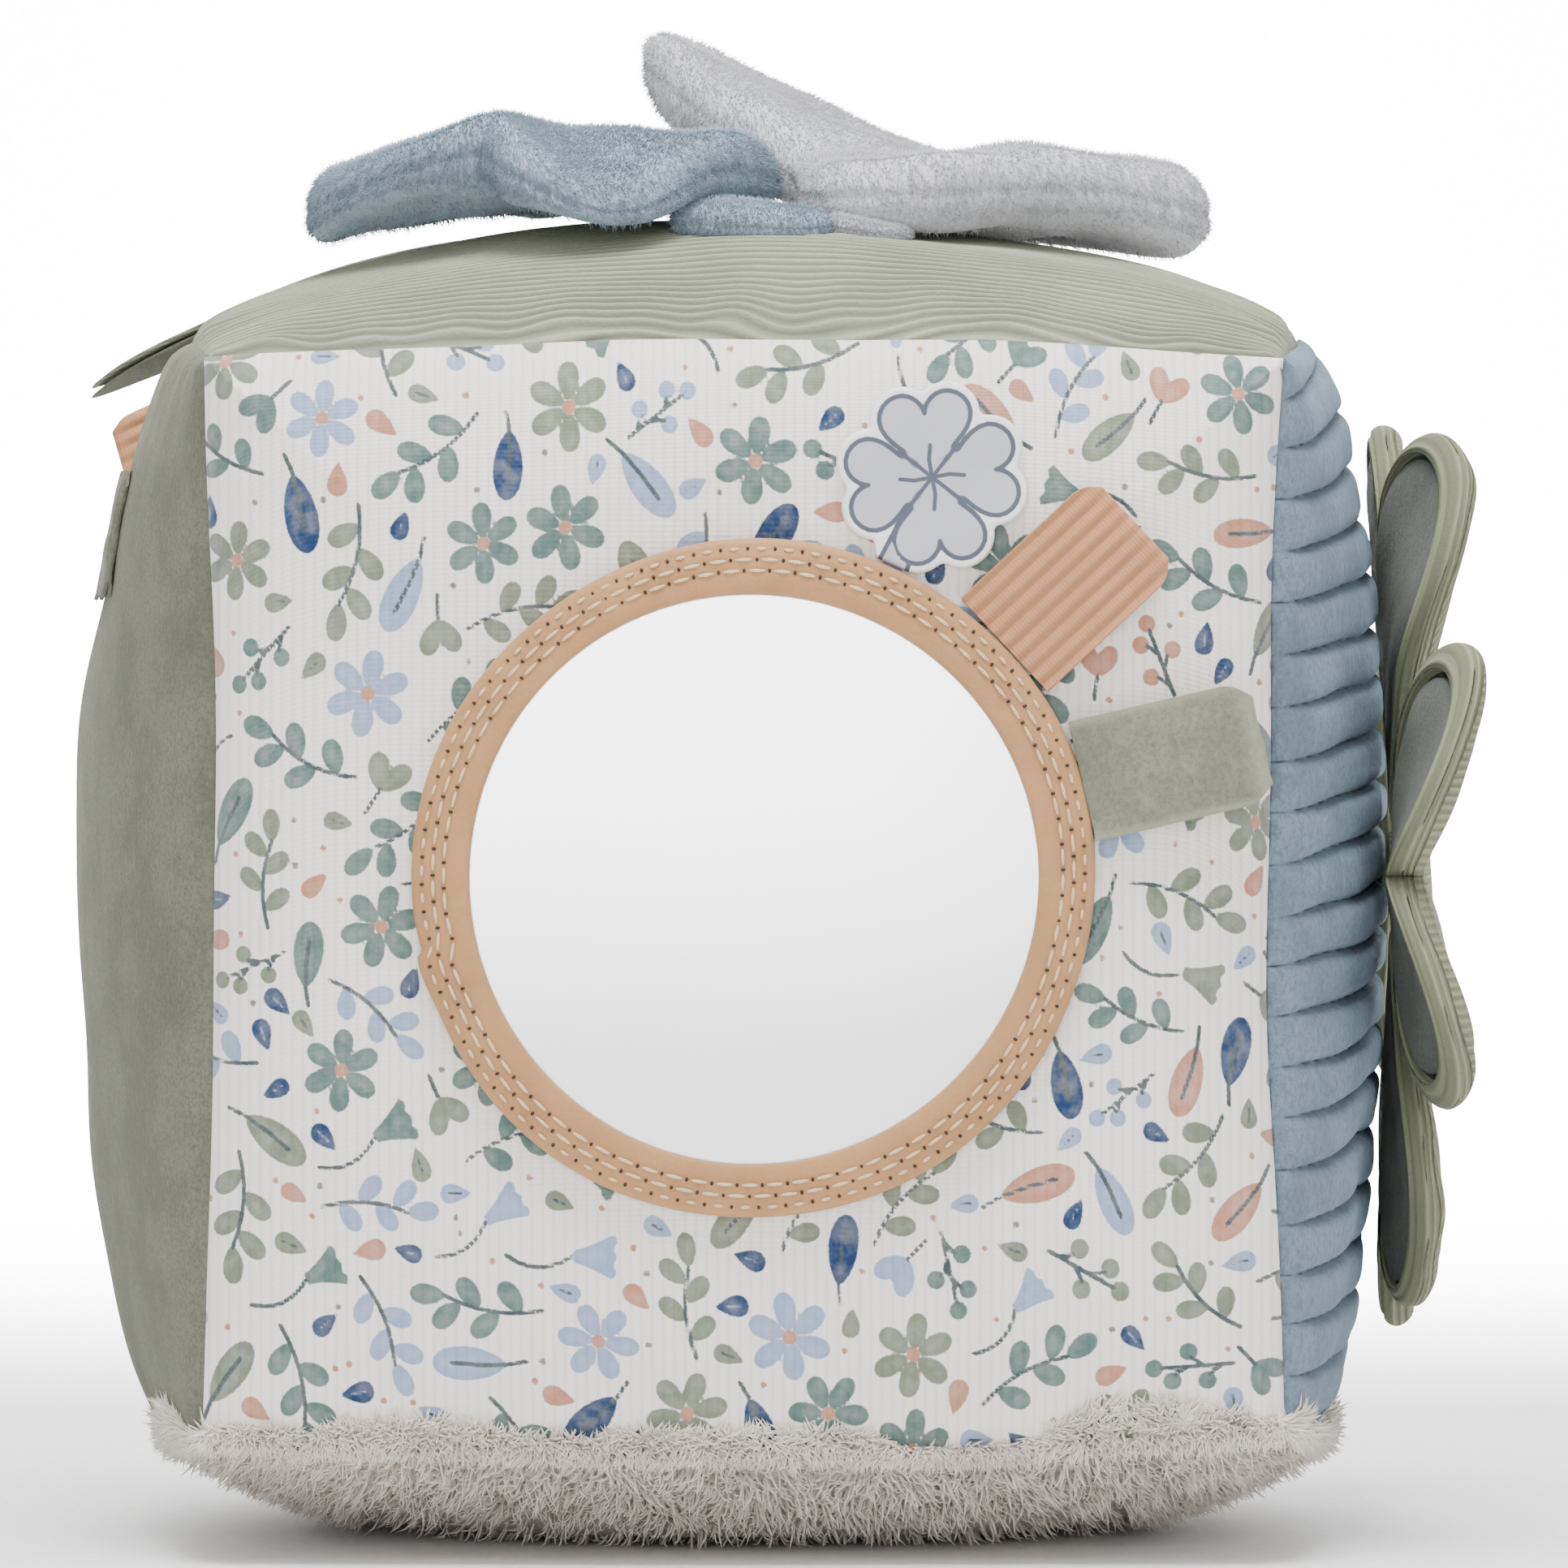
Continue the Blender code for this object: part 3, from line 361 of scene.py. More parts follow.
class Graph:
    """One material's nodes, added and joined in short calls."""

    def __init__(self, name: str) -> None:
        """Starts a material that has one Principled shader."""
        self.material = bpy.data.materials.new(name)
        self.material.use_nodes = True
        self.tree = self.material.node_tree
        self.shader = self.tree.nodes["Principled BSDF"]
        self._object = None

    def node(self, kind: str, **settings: object) -> bpy.types.Node:
        """Adds a node and sets the named properties."""
        made = self.tree.nodes.new(kind)
        for name, value in settings.items():
            setattr(made, name, value)
        return made

    def link(self, source: object, target: Socket) -> None:
        """Joins a socket to another, or sets a plain value on it."""
        if isinstance(source, Socket):
            self.tree.links.new(source, target)
        elif isinstance(source, tuple) and len(source) == 3 and len(target.default_value) == 4:
            target.default_value = (*source, 1)
        else:
            target.default_value = source

    def object_place(self) -> Socket:
        """The Object coordinate."""
        if self._object is None:
            self._object = self.node("ShaderNodeTexCoord").outputs["Object"]
        return self._object

    def attribute(self, name: str) -> Socket:
        """The vector of an attribute of the mesh."""
        return self.node("ShaderNodeAttribute", attribute_name=name).outputs["Vector"]

    def mapped(self, place: Socket, scale: Sequence[float] = (1, 1, 1),
               turn: Sequence[float] = (0, 0, 0)) -> Socket:
        """A place scaled and turned by a Mapping node."""
        made = self.node("ShaderNodeMapping")
        self.link(place, made.inputs["Vector"])
        made.inputs["Scale"].default_value = scale
        made.inputs["Rotation"].default_value = turn
        return made.outputs["Vector"]

    def parts(self, vector: Socket) -> Sequence[Socket]:
        """The x, y and z of a vector."""
        made = self.node("ShaderNodeSeparateXYZ")
        self.link(vector, made.inputs[0])
        return made.outputs

    def noise(self, place: object, size: float, detail: float = 3, rough: float = 0.55) -> Socket:
        """Noise with features of a size in metres, from 0 to 1."""
        made = self.node("ShaderNodeTexNoise")
        self.link(place, made.inputs["Vector"])
        made.inputs["Scale"].default_value = 1 / size
        made.inputs["Detail"].default_value = detail
        made.inputs["Roughness"].default_value = rough
        return made.outputs["Fac"]

    def cells(self, place: object, size: float) -> Socket:
        """The distance to the nearest of scattered points a size apart."""
        made = self.node("ShaderNodeTexVoronoi")
        self.link(place, made.inputs["Vector"])
        made.inputs["Scale"].default_value = 1 / size
        return made.outputs["Distance"]

    def sum(self, operation: str, first: object, second: object = 0.0, third: object = 0.0) -> Socket:
        """One step of arithmetic."""
        made = self.node("ShaderNodeMath", operation=operation)
        for value, socket in zip((first, second, third), made.inputs):
            self.link(value, socket)
        return made.outputs[0]

    def sine(self, value: object, pitch: float, phase: object = 0.0) -> Socket:
        """A sine from 0 to 1 with a pitch in metres, shifted by phase in radians."""
        angle = self.sum("MULTIPLY_ADD", value, 2 * math.pi / pitch, phase)
        return self.sum("MULTIPLY_ADD", self.sum("SINE", angle), 0.5, 0.5)

    def span(self, value: object, low: float, high: float, to_low: float = 0,
             to_high: float = 1) -> Socket:
        """A value moved from one range to another with smooth ends."""
        made = self.node("ShaderNodeMapRange", interpolation_type="SMOOTHSTEP")
        self.link(value, made.inputs["Value"])
        for name, given in zip(("From Min", "From Max", "To Min", "To Max"), (low, high, to_low, to_high)):
            made.inputs[name].default_value = given
        return made.outputs["Result"]

    def blend(self, share: object, first: object, second: object, mode: str = "MIX") -> Socket:
        """Two colours mixed by share."""
        made = self.node("ShaderNodeMix", data_type="RGBA", blend_type=mode)
        self.link(share, made.inputs[0])
        self.link(first, made.inputs[6])
        self.link(second, made.inputs[7])
        return made.outputs[2]

    def tint(self, share: object, colour: Colour) -> None:
        """Mixes a colour by share into the one that the shader already has."""
        target = self.shader.inputs["Base Color"]
        self.link(self.blend(share, target.links[0].from_socket, colour), target)

    def bump(self, height: object, deep: float, under: Optional[Socket] = None,
             strength: float = 1.0) -> Socket:
        """A bump whose full height is deep metres, over another bump if given."""
        made = self.node("ShaderNodeBump")
        made.inputs["Strength"].default_value = strength
        made.inputs["Distance"].default_value = deep
        self.link(height, made.inputs["Height"])
        if under is not None:
            self.link(under, made.inputs["Normal"])
        return made.outputs["Normal"]

    def surface(self, colour: object, roughness: float, normal: object = None, sheen: float = 0.0,
                tint: Colour = (1, 1, 1), sheen_rough: float = 0.4, metallic: float = 0.0,
                specular: float = 0.3) -> None:
        """Sets the Principled shader's sockets; plain numbers go straight on them."""
        sockets = self.shader.inputs
        self.link(colour, sockets["Base Color"])
        sockets["Roughness"].default_value = roughness
        sockets["Metallic"].default_value = metallic
        sockets["Specular IOR Level"].default_value = specular
        sockets["Sheen Weight"].default_value = sheen
        sockets["Sheen Roughness"].default_value = sheen_rough
        sockets["Sheen Tint"].default_value = (*tint, 1)
        if normal is not None:
            self.link(normal, sockets["Normal"])


@dataclass(frozen=True)
class Finish:
    """What a surface is made of; each kind adds its own nodes."""

    name: str
    colour: Colour

    def build(self, graph: Graph) -> None:
        """Adds the nodes: here a fine-grained plain surface."""
        place = graph.object_place()
        grain = graph.noise(place, 1.2 * MM)
        tone = graph.blend(graph.span(grain, 0.3, 0.7), self.shade(0.9), self.shade(1.05))
        graph.surface(tone, 0.7, graph.bump(grain, 0.05 * MM))

    def shade(self, share: float) -> Colour:
        """The finish's colour made darker or lighter."""
        return tuple(min(1.0, c * share) for c in self.colour)

    def material(self) -> bpy.types.Material:
        """The finish's material, made the first time that it is asked for."""
        made = bpy.data.materials.get(self.name)
        if made is None:
            graph = Graph(self.name)
            graph.material.diffuse_color = (*self.colour, 1)
            self.build(graph)
            made = graph.material
        return made


@dataclass(frozen=True)
class Velour(Finish):
    """Short, dense pile that is darker where it is brushed the other way, with a soft sheen."""

    pile: float = 0.55 * MM
    mottle: float = 16 * MM
    depth: float = 0.22 * MM
    sheen: float = 0.35
    contrast: float = 0.16

    def build(self, graph: Graph) -> None:
        """Brushed patches over single tufts; both also shape the bump."""
        place = graph.object_place()
        patches = graph.noise(place, self.mottle, 3, 0.6)
        tufts = graph.noise(place, self.pile, 4, 0.75)
        strands = graph.noise(graph.mapped(place, (1, 1, 0.45)), self.pile * 1.7, 2, 0.6)
        low, high = 1 - self.contrast, 1 + self.contrast
        tone = graph.blend(graph.span(patches, 0.35, 0.65), self.shade(low), self.shade(high))
        tone = graph.blend(graph.span(tufts, 0.34, 0.62, 0.65, 0.0), tone, self.shade(0.58))
        tone = graph.blend(graph.span(strands, 0.56, 0.76, 0.0, 0.5), tone, self.shade(1.32))
        normal = graph.bump(tufts, self.depth)
        normal = graph.bump(strands, self.depth * 0.8, normal)
        graph.surface(tone, 0.95, normal, self.sheen, self.shade(1.9), 0.45, specular=0.12)


@dataclass(frozen=True)
class LoopVelour(Velour):
    """Velour of a folded strip, with a painted sheen highlight along its cut edges and at its fold, by the
    cord attribute.
    """

    half: float = 8.4 * MM
    reach: float = 25.4 * MM

    def build(self, graph: Graph) -> None:
        """Velour nodes, then the painted highlight on the rim, from the places across and along the strip."""
        super().build(graph)
        across, along, _ = graph.parts(graph.attribute("cord"))
        edge = graph.span(graph.sum("ABSOLUTE", across), self.half * 0.82, self.half * 0.97)
        fold = graph.span(along, self.reach * 0.86, self.reach * 0.97)
        # Painted highlight: a lighter copy of the velour along the cut edges and over the fold, where sheen
        # would catch.
        graph.tint(graph.sum("MULTIPLY", graph.sum("MAXIMUM", edge, fold), 0.55), self.shade(1.55))


@dataclass(frozen=True)
class WidePile(Velour):
    """The wide cord's velvet: velour with painted shade down in the grooves, by the rib attribute."""

    def build(self, graph: Graph) -> None:
        """Velour nodes, then the painted groove shade over them from the attribute's x."""
        super().build(graph)
        rib = graph.parts(graph.attribute("rib"))[0]
        # Painted shade: the colour darkens to a quarter in the grooves between the ribs.
        graph.tint(graph.span(rib, 0.05, 0.42, 1.0, 0.0), self.shade(0.25))


@dataclass(frozen=True)
class FineCord(Finish):
    """Fine corduroy: rows of soft ribs that wander a little, from the cord attribute.

    The attribute's x is the place across the ribs in metres, and its y a place along them.
    """

    pitch: float = 1.25 * MM
    wander: float = 0.9

    def build(self, graph: Graph) -> None:
        """Ribs as a bump and as painted shade in the grooves, with tufts along each rib."""
        place = graph.object_place()
        across = graph.parts(graph.attribute("cord"))[0]
        drift = graph.sum("MULTIPLY", graph.noise(place, 20 * MM, 1), self.wander * 6)
        rib = graph.sine(across, self.pitch, drift)
        tufts = graph.noise(place, 0.6 * MM, 3, 0.7)
        patches = graph.noise(place, 18 * MM, 3, 0.6)
        tone = graph.blend(graph.span(patches, 0.3, 0.7), self.shade(0.9), self.shade(1.1))
        # Painted shade: the grooves between the ribs made darker.
        tone = graph.blend(graph.span(rib, 0.0, 0.8, 0.75, 0.0), tone, self.shade(0.5))
        tone = graph.blend(graph.span(tufts, 0.35, 0.6, 0.3, 0.0), tone, self.shade(0.7))
        normal = graph.bump(rib, self.pitch * 0.3)
        normal = graph.bump(tufts, 0.12 * MM, normal)
        graph.surface(tone, 0.95, normal, 0.3, self.shade(1.8), 0.5, specular=0.12)


@dataclass(frozen=True)
class LongPile(Finish):
    """Cream plush fibres: lighter tips over roots darkened by painted shade, by the pile attribute's x."""

    def build(self, graph: Graph) -> None:
        """Painted shade from the root to the tip, with slow patches."""
        place = graph.object_place()
        tip = graph.parts(graph.attribute("pile"))[0]
        patches = graph.noise(place, 9 * MM, 3, 0.6)
        tone = graph.blend(graph.span(patches, 0.35, 0.65), self.shade(0.9), self.shade(1.08))
        # Painted shade: the roots darker, where the fibres shade each other.
        tone = graph.blend(graph.span(tip, 0.0, 0.7, 0.4, 0.0), tone, self.shade(0.8))
        graph.surface(tone, 0.9, None, 0.35, self.shade(1.4), 0.5, specular=0.15)


class Ink(Enum):
    """The print's colours: which attribute and channel holds each, and its colour."""

    SAGE = ("ink_a", 0, srgb(112, 122, 104))
    TEAL = ("ink_a", 1, srgb(84, 108, 104))
    DEEP = ("ink_a", 2, srgb(28, 54, 92))
    PALE = ("ink_b", 0, srgb(140, 156, 186))
    PEACH = ("ink_b", 1, srgb(178, 126, 102))
    STEM = ("ink_b", 2, srgb(64, 76, 80))


@dataclass(frozen=True)
class Jersey(Finish):
    """Ribbed jersey, printed with the inks whose outlines the mesh's attributes hold."""

    rib: float = 1.5 * MM

    def build(self, graph: Graph) -> None:
        """Knit ribs and loops under washes of ink that thin out inside each motif, with painted shade in the
        rib valleys.
        """
        place = graph.object_place()
        x, y, z = graph.parts(place)
        rib = graph.sine(x, self.rib)
        loops = graph.sine(graph.sum("ADD", z, y), 0.75 * MM)
        fuzz = graph.noise(place, 0.5 * MM, 3, 0.7)
        wash = graph.noise(place, 2.6 * MM, 3, 0.6)
        # Painted shade: the cloth darker in the knit's rib valleys.
        tone = graph.blend(graph.span(rib, 0.0, 0.5, 0.35, 0.0), self.colour, self.shade(0.88))
        tone = graph.blend(graph.span(fuzz, 0.4, 0.65, 0.25, 0.0), tone, self.shade(0.88))
        sources = {name: graph.parts(graph.attribute(name)) for name in ("ink_a", "ink_b")}
        edge = graph.sum("MULTIPLY_ADD", fuzz, 0.3, -0.15)
        for ink in Ink:
            name, channel, colour = ink.value
            away = graph.sum("ADD", sources[name][channel], edge)
            # The lines are thinner than the mesh's squares, so they fade out later.
            sharp = (-0.04, 0.14) if ink is Ink.STEM else (-0.14, 0.1)
            inked = graph.span(away, *sharp, 1.0, 0.0)
            depth = graph.span(away, -1.6, -0.1, 0.0, 1.0)
            light = tuple(c * 0.8 + b * 0.2 for c, b in zip(colour, self.colour))
            dark = tuple(c * 0.86 for c in colour)
            body = graph.blend(graph.sum("MULTIPLY", graph.span(wash, 0.3, 0.7), 0.75), colour, light)
            body = graph.blend(graph.sum("MULTIPLY", depth, 0.4), body, dark)
            tone = graph.blend(inked, tone, body)
        # Painted shade in the rib valleys again, now over the inks too.
        tone = graph.blend(graph.span(rib, 0.0, 0.35, 0.5, 0.0), tone, (0.84, 0.84, 0.84), "MULTIPLY")
        normal = graph.bump(rib, 0.10 * MM)
        normal = graph.bump(loops, 0.03 * MM, normal)
        normal = graph.bump(fuzz, 0.05 * MM, normal)
        graph.surface(tone, 0.9, normal, 0.12, (1, 1, 1), 0.5, specular=0.15)


@dataclass(frozen=True)
class Tape(Finish):
    """Soft tan tape of leather look, with a fine grain and slow changes of tone."""

    def build(self, graph: Graph) -> None:
        """Grain cells in the bump, with slow changes of tone."""
        place = graph.object_place()
        grain = graph.cells(place, 0.7 * MM)
        patches = graph.noise(place, 7 * MM, 4, 0.6)
        fine = graph.noise(place, 0.5 * MM, 3, 0.6)
        tone = graph.blend(graph.span(patches, 0.3, 0.7), self.shade(0.92), self.shade(1.08))
        tone = graph.blend(graph.span(fine, 0.3, 0.6, 0.2, 0.0), tone, self.shade(0.78))
        normal = graph.bump(grain, 0.05 * MM)
        normal = graph.bump(patches, 0.25 * MM, normal)
        graph.surface(tone, 0.62, normal, 0.08, (1, 1, 1), specular=0.3)


@dataclass(frozen=True)
class Thread(Finish):
    """Twisted sewing thread."""

    def build(self, graph: Graph) -> None:
        """A slanting twist in tone and bump."""
        place = graph.object_place()
        x, y, z = graph.parts(place)
        twist = graph.sine(graph.sum("ADD", graph.sum("ADD", x, y), z), 0.35 * MM)
        tone = graph.blend(graph.span(twist, 0.0, 1.0), self.shade(0.8), self.shade(1.08))
        graph.surface(tone, 0.6, graph.bump(twist, 0.04 * MM), 0.1, specular=0.3)


@dataclass(frozen=True)
class Grosgrain(Finish):
    """Ribbed ribbon: tone and weave from the cord attribute, whose x runs across the ribbon."""

    rib: float = 2.2 * MM

    def build(self, graph: Graph) -> None:
        """Painted shade in the valleys between the ribs, and cross threads over each rib."""
        place = graph.object_place()
        across, along, _ = graph.parts(graph.attribute("cord"))
        rib = graph.sine(across, self.rib)
        weft = graph.sine(along, 0.5 * MM)
        fuzz = graph.noise(place, 0.5 * MM, 3, 0.65)
        patches = graph.noise(place, 6 * MM, 2, 0.6)
        tone = graph.blend(graph.span(patches, 0.3, 0.7), self.shade(0.94), self.shade(1.06))
        # Painted shade: the valleys between the ribs made darker.
        tone = graph.blend(graph.span(rib, 0.0, 0.9, 0.8, 0.0), tone, self.shade(0.6))
        tone = graph.blend(graph.span(fuzz, 0.4, 0.65, 0.25, 0.0), tone, self.shade(0.8))
        normal = graph.bump(weft, 0.06 * MM)
        normal = graph.bump(fuzz, 0.05 * MM, normal)
        graph.surface(tone, 0.8, normal, 0.15, self.shade(1.6), 0.5, specular=0.2)


@dataclass(frozen=True)
class TagSatin(Finish):
    """White satin printed with grey leaves and dark outlines, by the ink_a attribute.

    The attribute's x is the distance into the leaves in millimetres, and its y the distance to
    a vein.
    """

    leaf: Colour = srgb(184, 184, 194)
    line: Colour = srgb(78, 84, 98)

    def build(self, graph: Graph) -> None:
        """White border, leaf fill, outline and veins, under a fine satin weave."""
        place = graph.object_place()
        x, _, z = graph.parts(place)
        leaf, vein, _ = graph.parts(graph.attribute("ink_a"))
        weave = graph.sine(graph.sum("ADD", x, z), 0.4 * MM)
        tone = graph.blend(graph.span(leaf, -0.1, 0.1, 1.0, 0.0), self.colour, self.leaf)
        near = graph.sum("ABSOLUTE", leaf)
        tone = graph.blend(graph.span(near, 0.24, 0.42, 1.0, 0.0), tone, self.line)
        tone = graph.blend(graph.span(vein, 0.2, 0.38, 1.0, 0.0), tone, self.line)
        graph.surface(tone, 0.55, graph.bump(weave, 0.02 * MM), 0.1, specular=0.35)


@dataclass(frozen=True)
class MirrorFilm(Finish):
    """Plastic mirror film: bright, very slightly hazy and never quite flat."""

    def build(self, graph: Graph) -> None:
        """Slow waves in the bump, with a slight change of tone."""
        place = graph.object_place()
        waves = graph.noise(place, 45 * MM, 2, 0.4)
        tone = graph.blend(graph.span(waves, 0.2, 0.8), self.shade(0.97), self.colour)
        graph.surface(tone, 0.2, graph.bump(waves, 0.5 * MM, strength=0.2), metallic=1.0, specular=0.5)


JERSEY = Jersey("printed jersey", srgb(240, 236, 229))
SAGE_VELOUR = Velour("sage velour", srgb(104, 106, 92), sheen=0.25, contrast=0.16)
TAB_VELOUR = LoopVelour("sage loop velour", srgb(122, 125, 107), pile=0.8 * MM, sheen=0.25, contrast=0.14)
SAGE_CORD = FineCord("sage fine cord", srgb(150, 154, 135), pitch=2.2 * MM, wander=0.0)
FLAP_CORD = FineCord("sage flap cord", srgb(137, 139, 114), wander=0.25)
FLAP_VELOUR = Velour("grey green velour", srgb(100, 103, 97), contrast=0.12)
BLUE_CORD = WidePile("blue wide cord", srgb(109, 125, 137), contrast=0.15, depth=0.42 * MM, pile=0.95 * MM)
CREAM_PILE = LongPile("cream plush pile", srgb(232, 222, 212))
CREAM_BACKING = Velour("cream plush backing", srgb(214, 204, 194))
BLUE_PLUSH = Velour("blue plush", srgb(150, 167, 179), mottle=9 * MM, depth=0.12 * MM, sheen=0.6,
                    contrast=0.14)
GREY_PLUSH = Velour("lavender grey plush", srgb(208, 208, 216), mottle=11 * MM, depth=0.1 * MM, sheen=0.6,
                    contrast=0.07)
TAN_TAPE = Tape("tan tape", srgb(171, 128, 86))
TAPE_THREAD = Thread("cream thread", srgb(222, 194, 154))
# Painted shade: the needle holes are small dark capsules in this colour, not openings.
NEEDLE_HOLE_SHADE = Finish("needle hole", srgb(58, 44, 34))
PEACH_RIBBON = Grosgrain("peach ribbon", srgb(191, 137, 100))
TAG_PRINT = TagSatin("printed tag satin", srgb(240, 240, 240))
MIRROR = MirrorFilm("mirror film", (0.95, 0.955, 0.96))
FIBRE = Finish("white fibre", srgb(235, 235, 232))
CRINKLE = Finish("crinkle film", srgb(205, 208, 208))
RATTLE = Finish("rattle plastic", srgb(225, 225, 220))
BEAD = Finish("bead steel", srgb(170, 170, 172))
FLOOR = Finish("pale floor", srgb(250, 250, 250))
FLAP_LAYERS = {
    "face": (FLAP_CORD, "sage_cord"), "back": (FLAP_VELOUR, "grey_velour"), "film": (CRINKLE, "crinkle_film"),
}


def hold(piece: Piece, body: str, nodes: Iterable[str] = ()) -> None:
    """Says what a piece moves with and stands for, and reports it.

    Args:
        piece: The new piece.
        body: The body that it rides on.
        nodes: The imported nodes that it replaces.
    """
    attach(piece, body)
    names = list(nodes)
    if names:
        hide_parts(*names)
    log.info("%s: %d faces, rides on %s", piece.name, len(piece.data.polygons), body)


def vector_attribute(piece: Piece, name: str, values: Array) -> None:
    """Stores one vector for each point of a piece."""
    made = piece.data.attributes.new(name, "FLOAT_VECTOR", "POINT")
    made.data.foreach_set("vector", values.astype(np.float32).ravel())


# The block's form


class Side(Enum):
    """The block's panels: the axis that each faces along, and its sign."""

    LEFT = (0, -1)
    RIGHT = (0, 1)
    FRONT = (1, -1)
    BACK = (1, 1)
    TOP = (2, 1)
    BOTTOM = (2, -1)


@dataclass(frozen=True)
class BlockForm:
    """The stuffed cube under the panels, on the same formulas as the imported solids."""

    half: float = 75 * MM
    base: float = 17 * MM
    long_bow: float = 5 * MM
    side_bow: float = -2 * MM
    top_bow: float = 2.5 * MM
    depth_bow: float = 2 * MM
    inset: float = 0.1 * MM
    plateau: float = 54 * MM
    mirror_x: float = 1.5 * MM
    mirror_up: float = 3 * MM
    crown_share: float = 0.6
    crowns: dict = field(default_factory=lambda: {
        Side.LEFT: 19 * MM, Side.RIGHT: 13.3 * MM, Side.TOP: 16 * MM,
        Side.BOTTOM: 15 * MM, Side.BACK: 15 * MM, Side.FRONT: 14.5 * MM,
    })

    @property
    def middle(self) -> float:
        """The height of the block's middle."""
        return self.base + self.half

    def bow(self, place: Array) -> Array:
        """How far seams and faces bow out at a place on the unit cube: cubic towards each face."""
        x, y, z = place[..., 0], place[..., 1], place[..., 2]
        return np.stack([
            x**3 * (self.long_bow * (1 - y * y) + self.side_bow * (1 - z * z)),
            y**3 * self.depth_bow * ((1 - x * x) + (1 - z * z)),
            z**3 * (self.long_bow * (1 - y * y) + self.top_bow * (1 - x * x)),
        ], -1)

    def panel(self, side: Side, s: Array, t: Array, lift: Array | float = 0.0) -> Array:
        """The panel's outer skin: the bowed cube face plus crown * ((1-s^2)(1-t^2))^0.6 + lift.

        Args:
            side: Which panel, not the front.
            s, t: Places from -1 to 1 along the two axes that follow the panel's own.
            lift: How far the skin stands out further.

        Returns:
            Points in metres.
        """
        axis, sign = side.value
        place = np.zeros((*np.broadcast(s, t).shape, 3))
        place[..., axis] = sign
        place[..., (axis + 1) % 3] = s
        place[..., (axis + 2) % 3] = t
        points = place * (self.half - self.inset)
        points[..., axis] = sign * self.half
        points += self.bow(place)
        domed = (np.clip(1 - s * s, 0, 1) * np.clip(1 - t * t, 0, 1)) ** self.crown_share
        points[..., axis] += sign * (self.crowns[side] * domed + lift)
        points[..., 2] += self.middle
        return points

    def front(self, s: Array, t: Array, lift: Array | float = 0.0) -> Array:
        """The front skin: flat round the mirror, falling as sqrt(1 - p^1.74) to the square seam.

        p goes from 0 at the edge of the flat to 1 at the seam, along rays from the mirror's middle.

        Args:
            s, t: Places from -1 to 1 along Z and X.
            lift: How far the skin stands out further.

        Returns:
            Points in metres.
        """
        place = vectors(t, -1.0, s)
        flat = place[..., [0, 2]] * (self.half - self.inset)
        bow = self.bow(place)
        mirror = np.array([self.mirror_x, self.mirror_up])
        ray = flat - mirror
        reach = np.linalg.norm(ray, axis=-1)
        way = ray / np.maximum(reach, 1e-9)[..., None]
        edge = ((self.half - np.sign(way) * mirror) / np.maximum(np.abs(way), 1e-9)).min(-1)
        p = np.clip((reach - self.plateau) / np.maximum(edge - self.plateau, 1e-6), 0, 1)
        drop = np.sqrt(np.clip(1 - p**1.74, 0, 1))
        deep = self.half + self.crowns[Side.FRONT] * drop - bow[..., 1] * (1 - drop) + lift
        return vectors(flat[..., 0] + bow[..., 0], -deep, flat[..., 1] + bow[..., 2] + self.middle)

    def wander(self, points: Array) -> Array:
        """How far hand stuffing moves a place: up to about 0.7 mm, and none near the mirror."""
        waves = ((62, 51), (58, 52), (50, 53))
        moved = vectors(*(swell(points, length * MM, seed) for length, seed in waves))
        ray = points[..., [0, 2]] - np.array([self.mirror_x, self.middle + self.mirror_up])
        near = smooth(np.linalg.norm(ray, axis=-1), 48 * MM, 66 * MM)
        held = np.where(points[..., 1] < -0.8 * self.half, near, 1.0)
        return 0.45 * MM * moved * held[..., None]

    def skin(self, side: Side, s: Array, t: Array, lift: Array | float = 0.0) -> Array:
        """The outer skin of any panel, with the wander that all panels share at their seams."""
        points = self.front(s, t, lift) if side is Side.FRONT else self.panel(side, s, t, lift)
        return points + self.wander(points)


def eased(count: int, share: float = 0.5) -> Array:
    """Places from -1 to 1 that are closer together at both ends."""
    even = np.linspace(-1, 1, count)
    return even * (1 - share) + np.sin(even * np.pi / 2) * share


def run_lengths(points: Array) -> Array:
    """The length run along each row of a grid of points, from 0 at its first column."""
    steps = np.linalg.norm(np.diff(points, axis=1), axis=-1)
    return np.pad(np.cumsum(steps, axis=1), ((0, 0), (1, 0)))


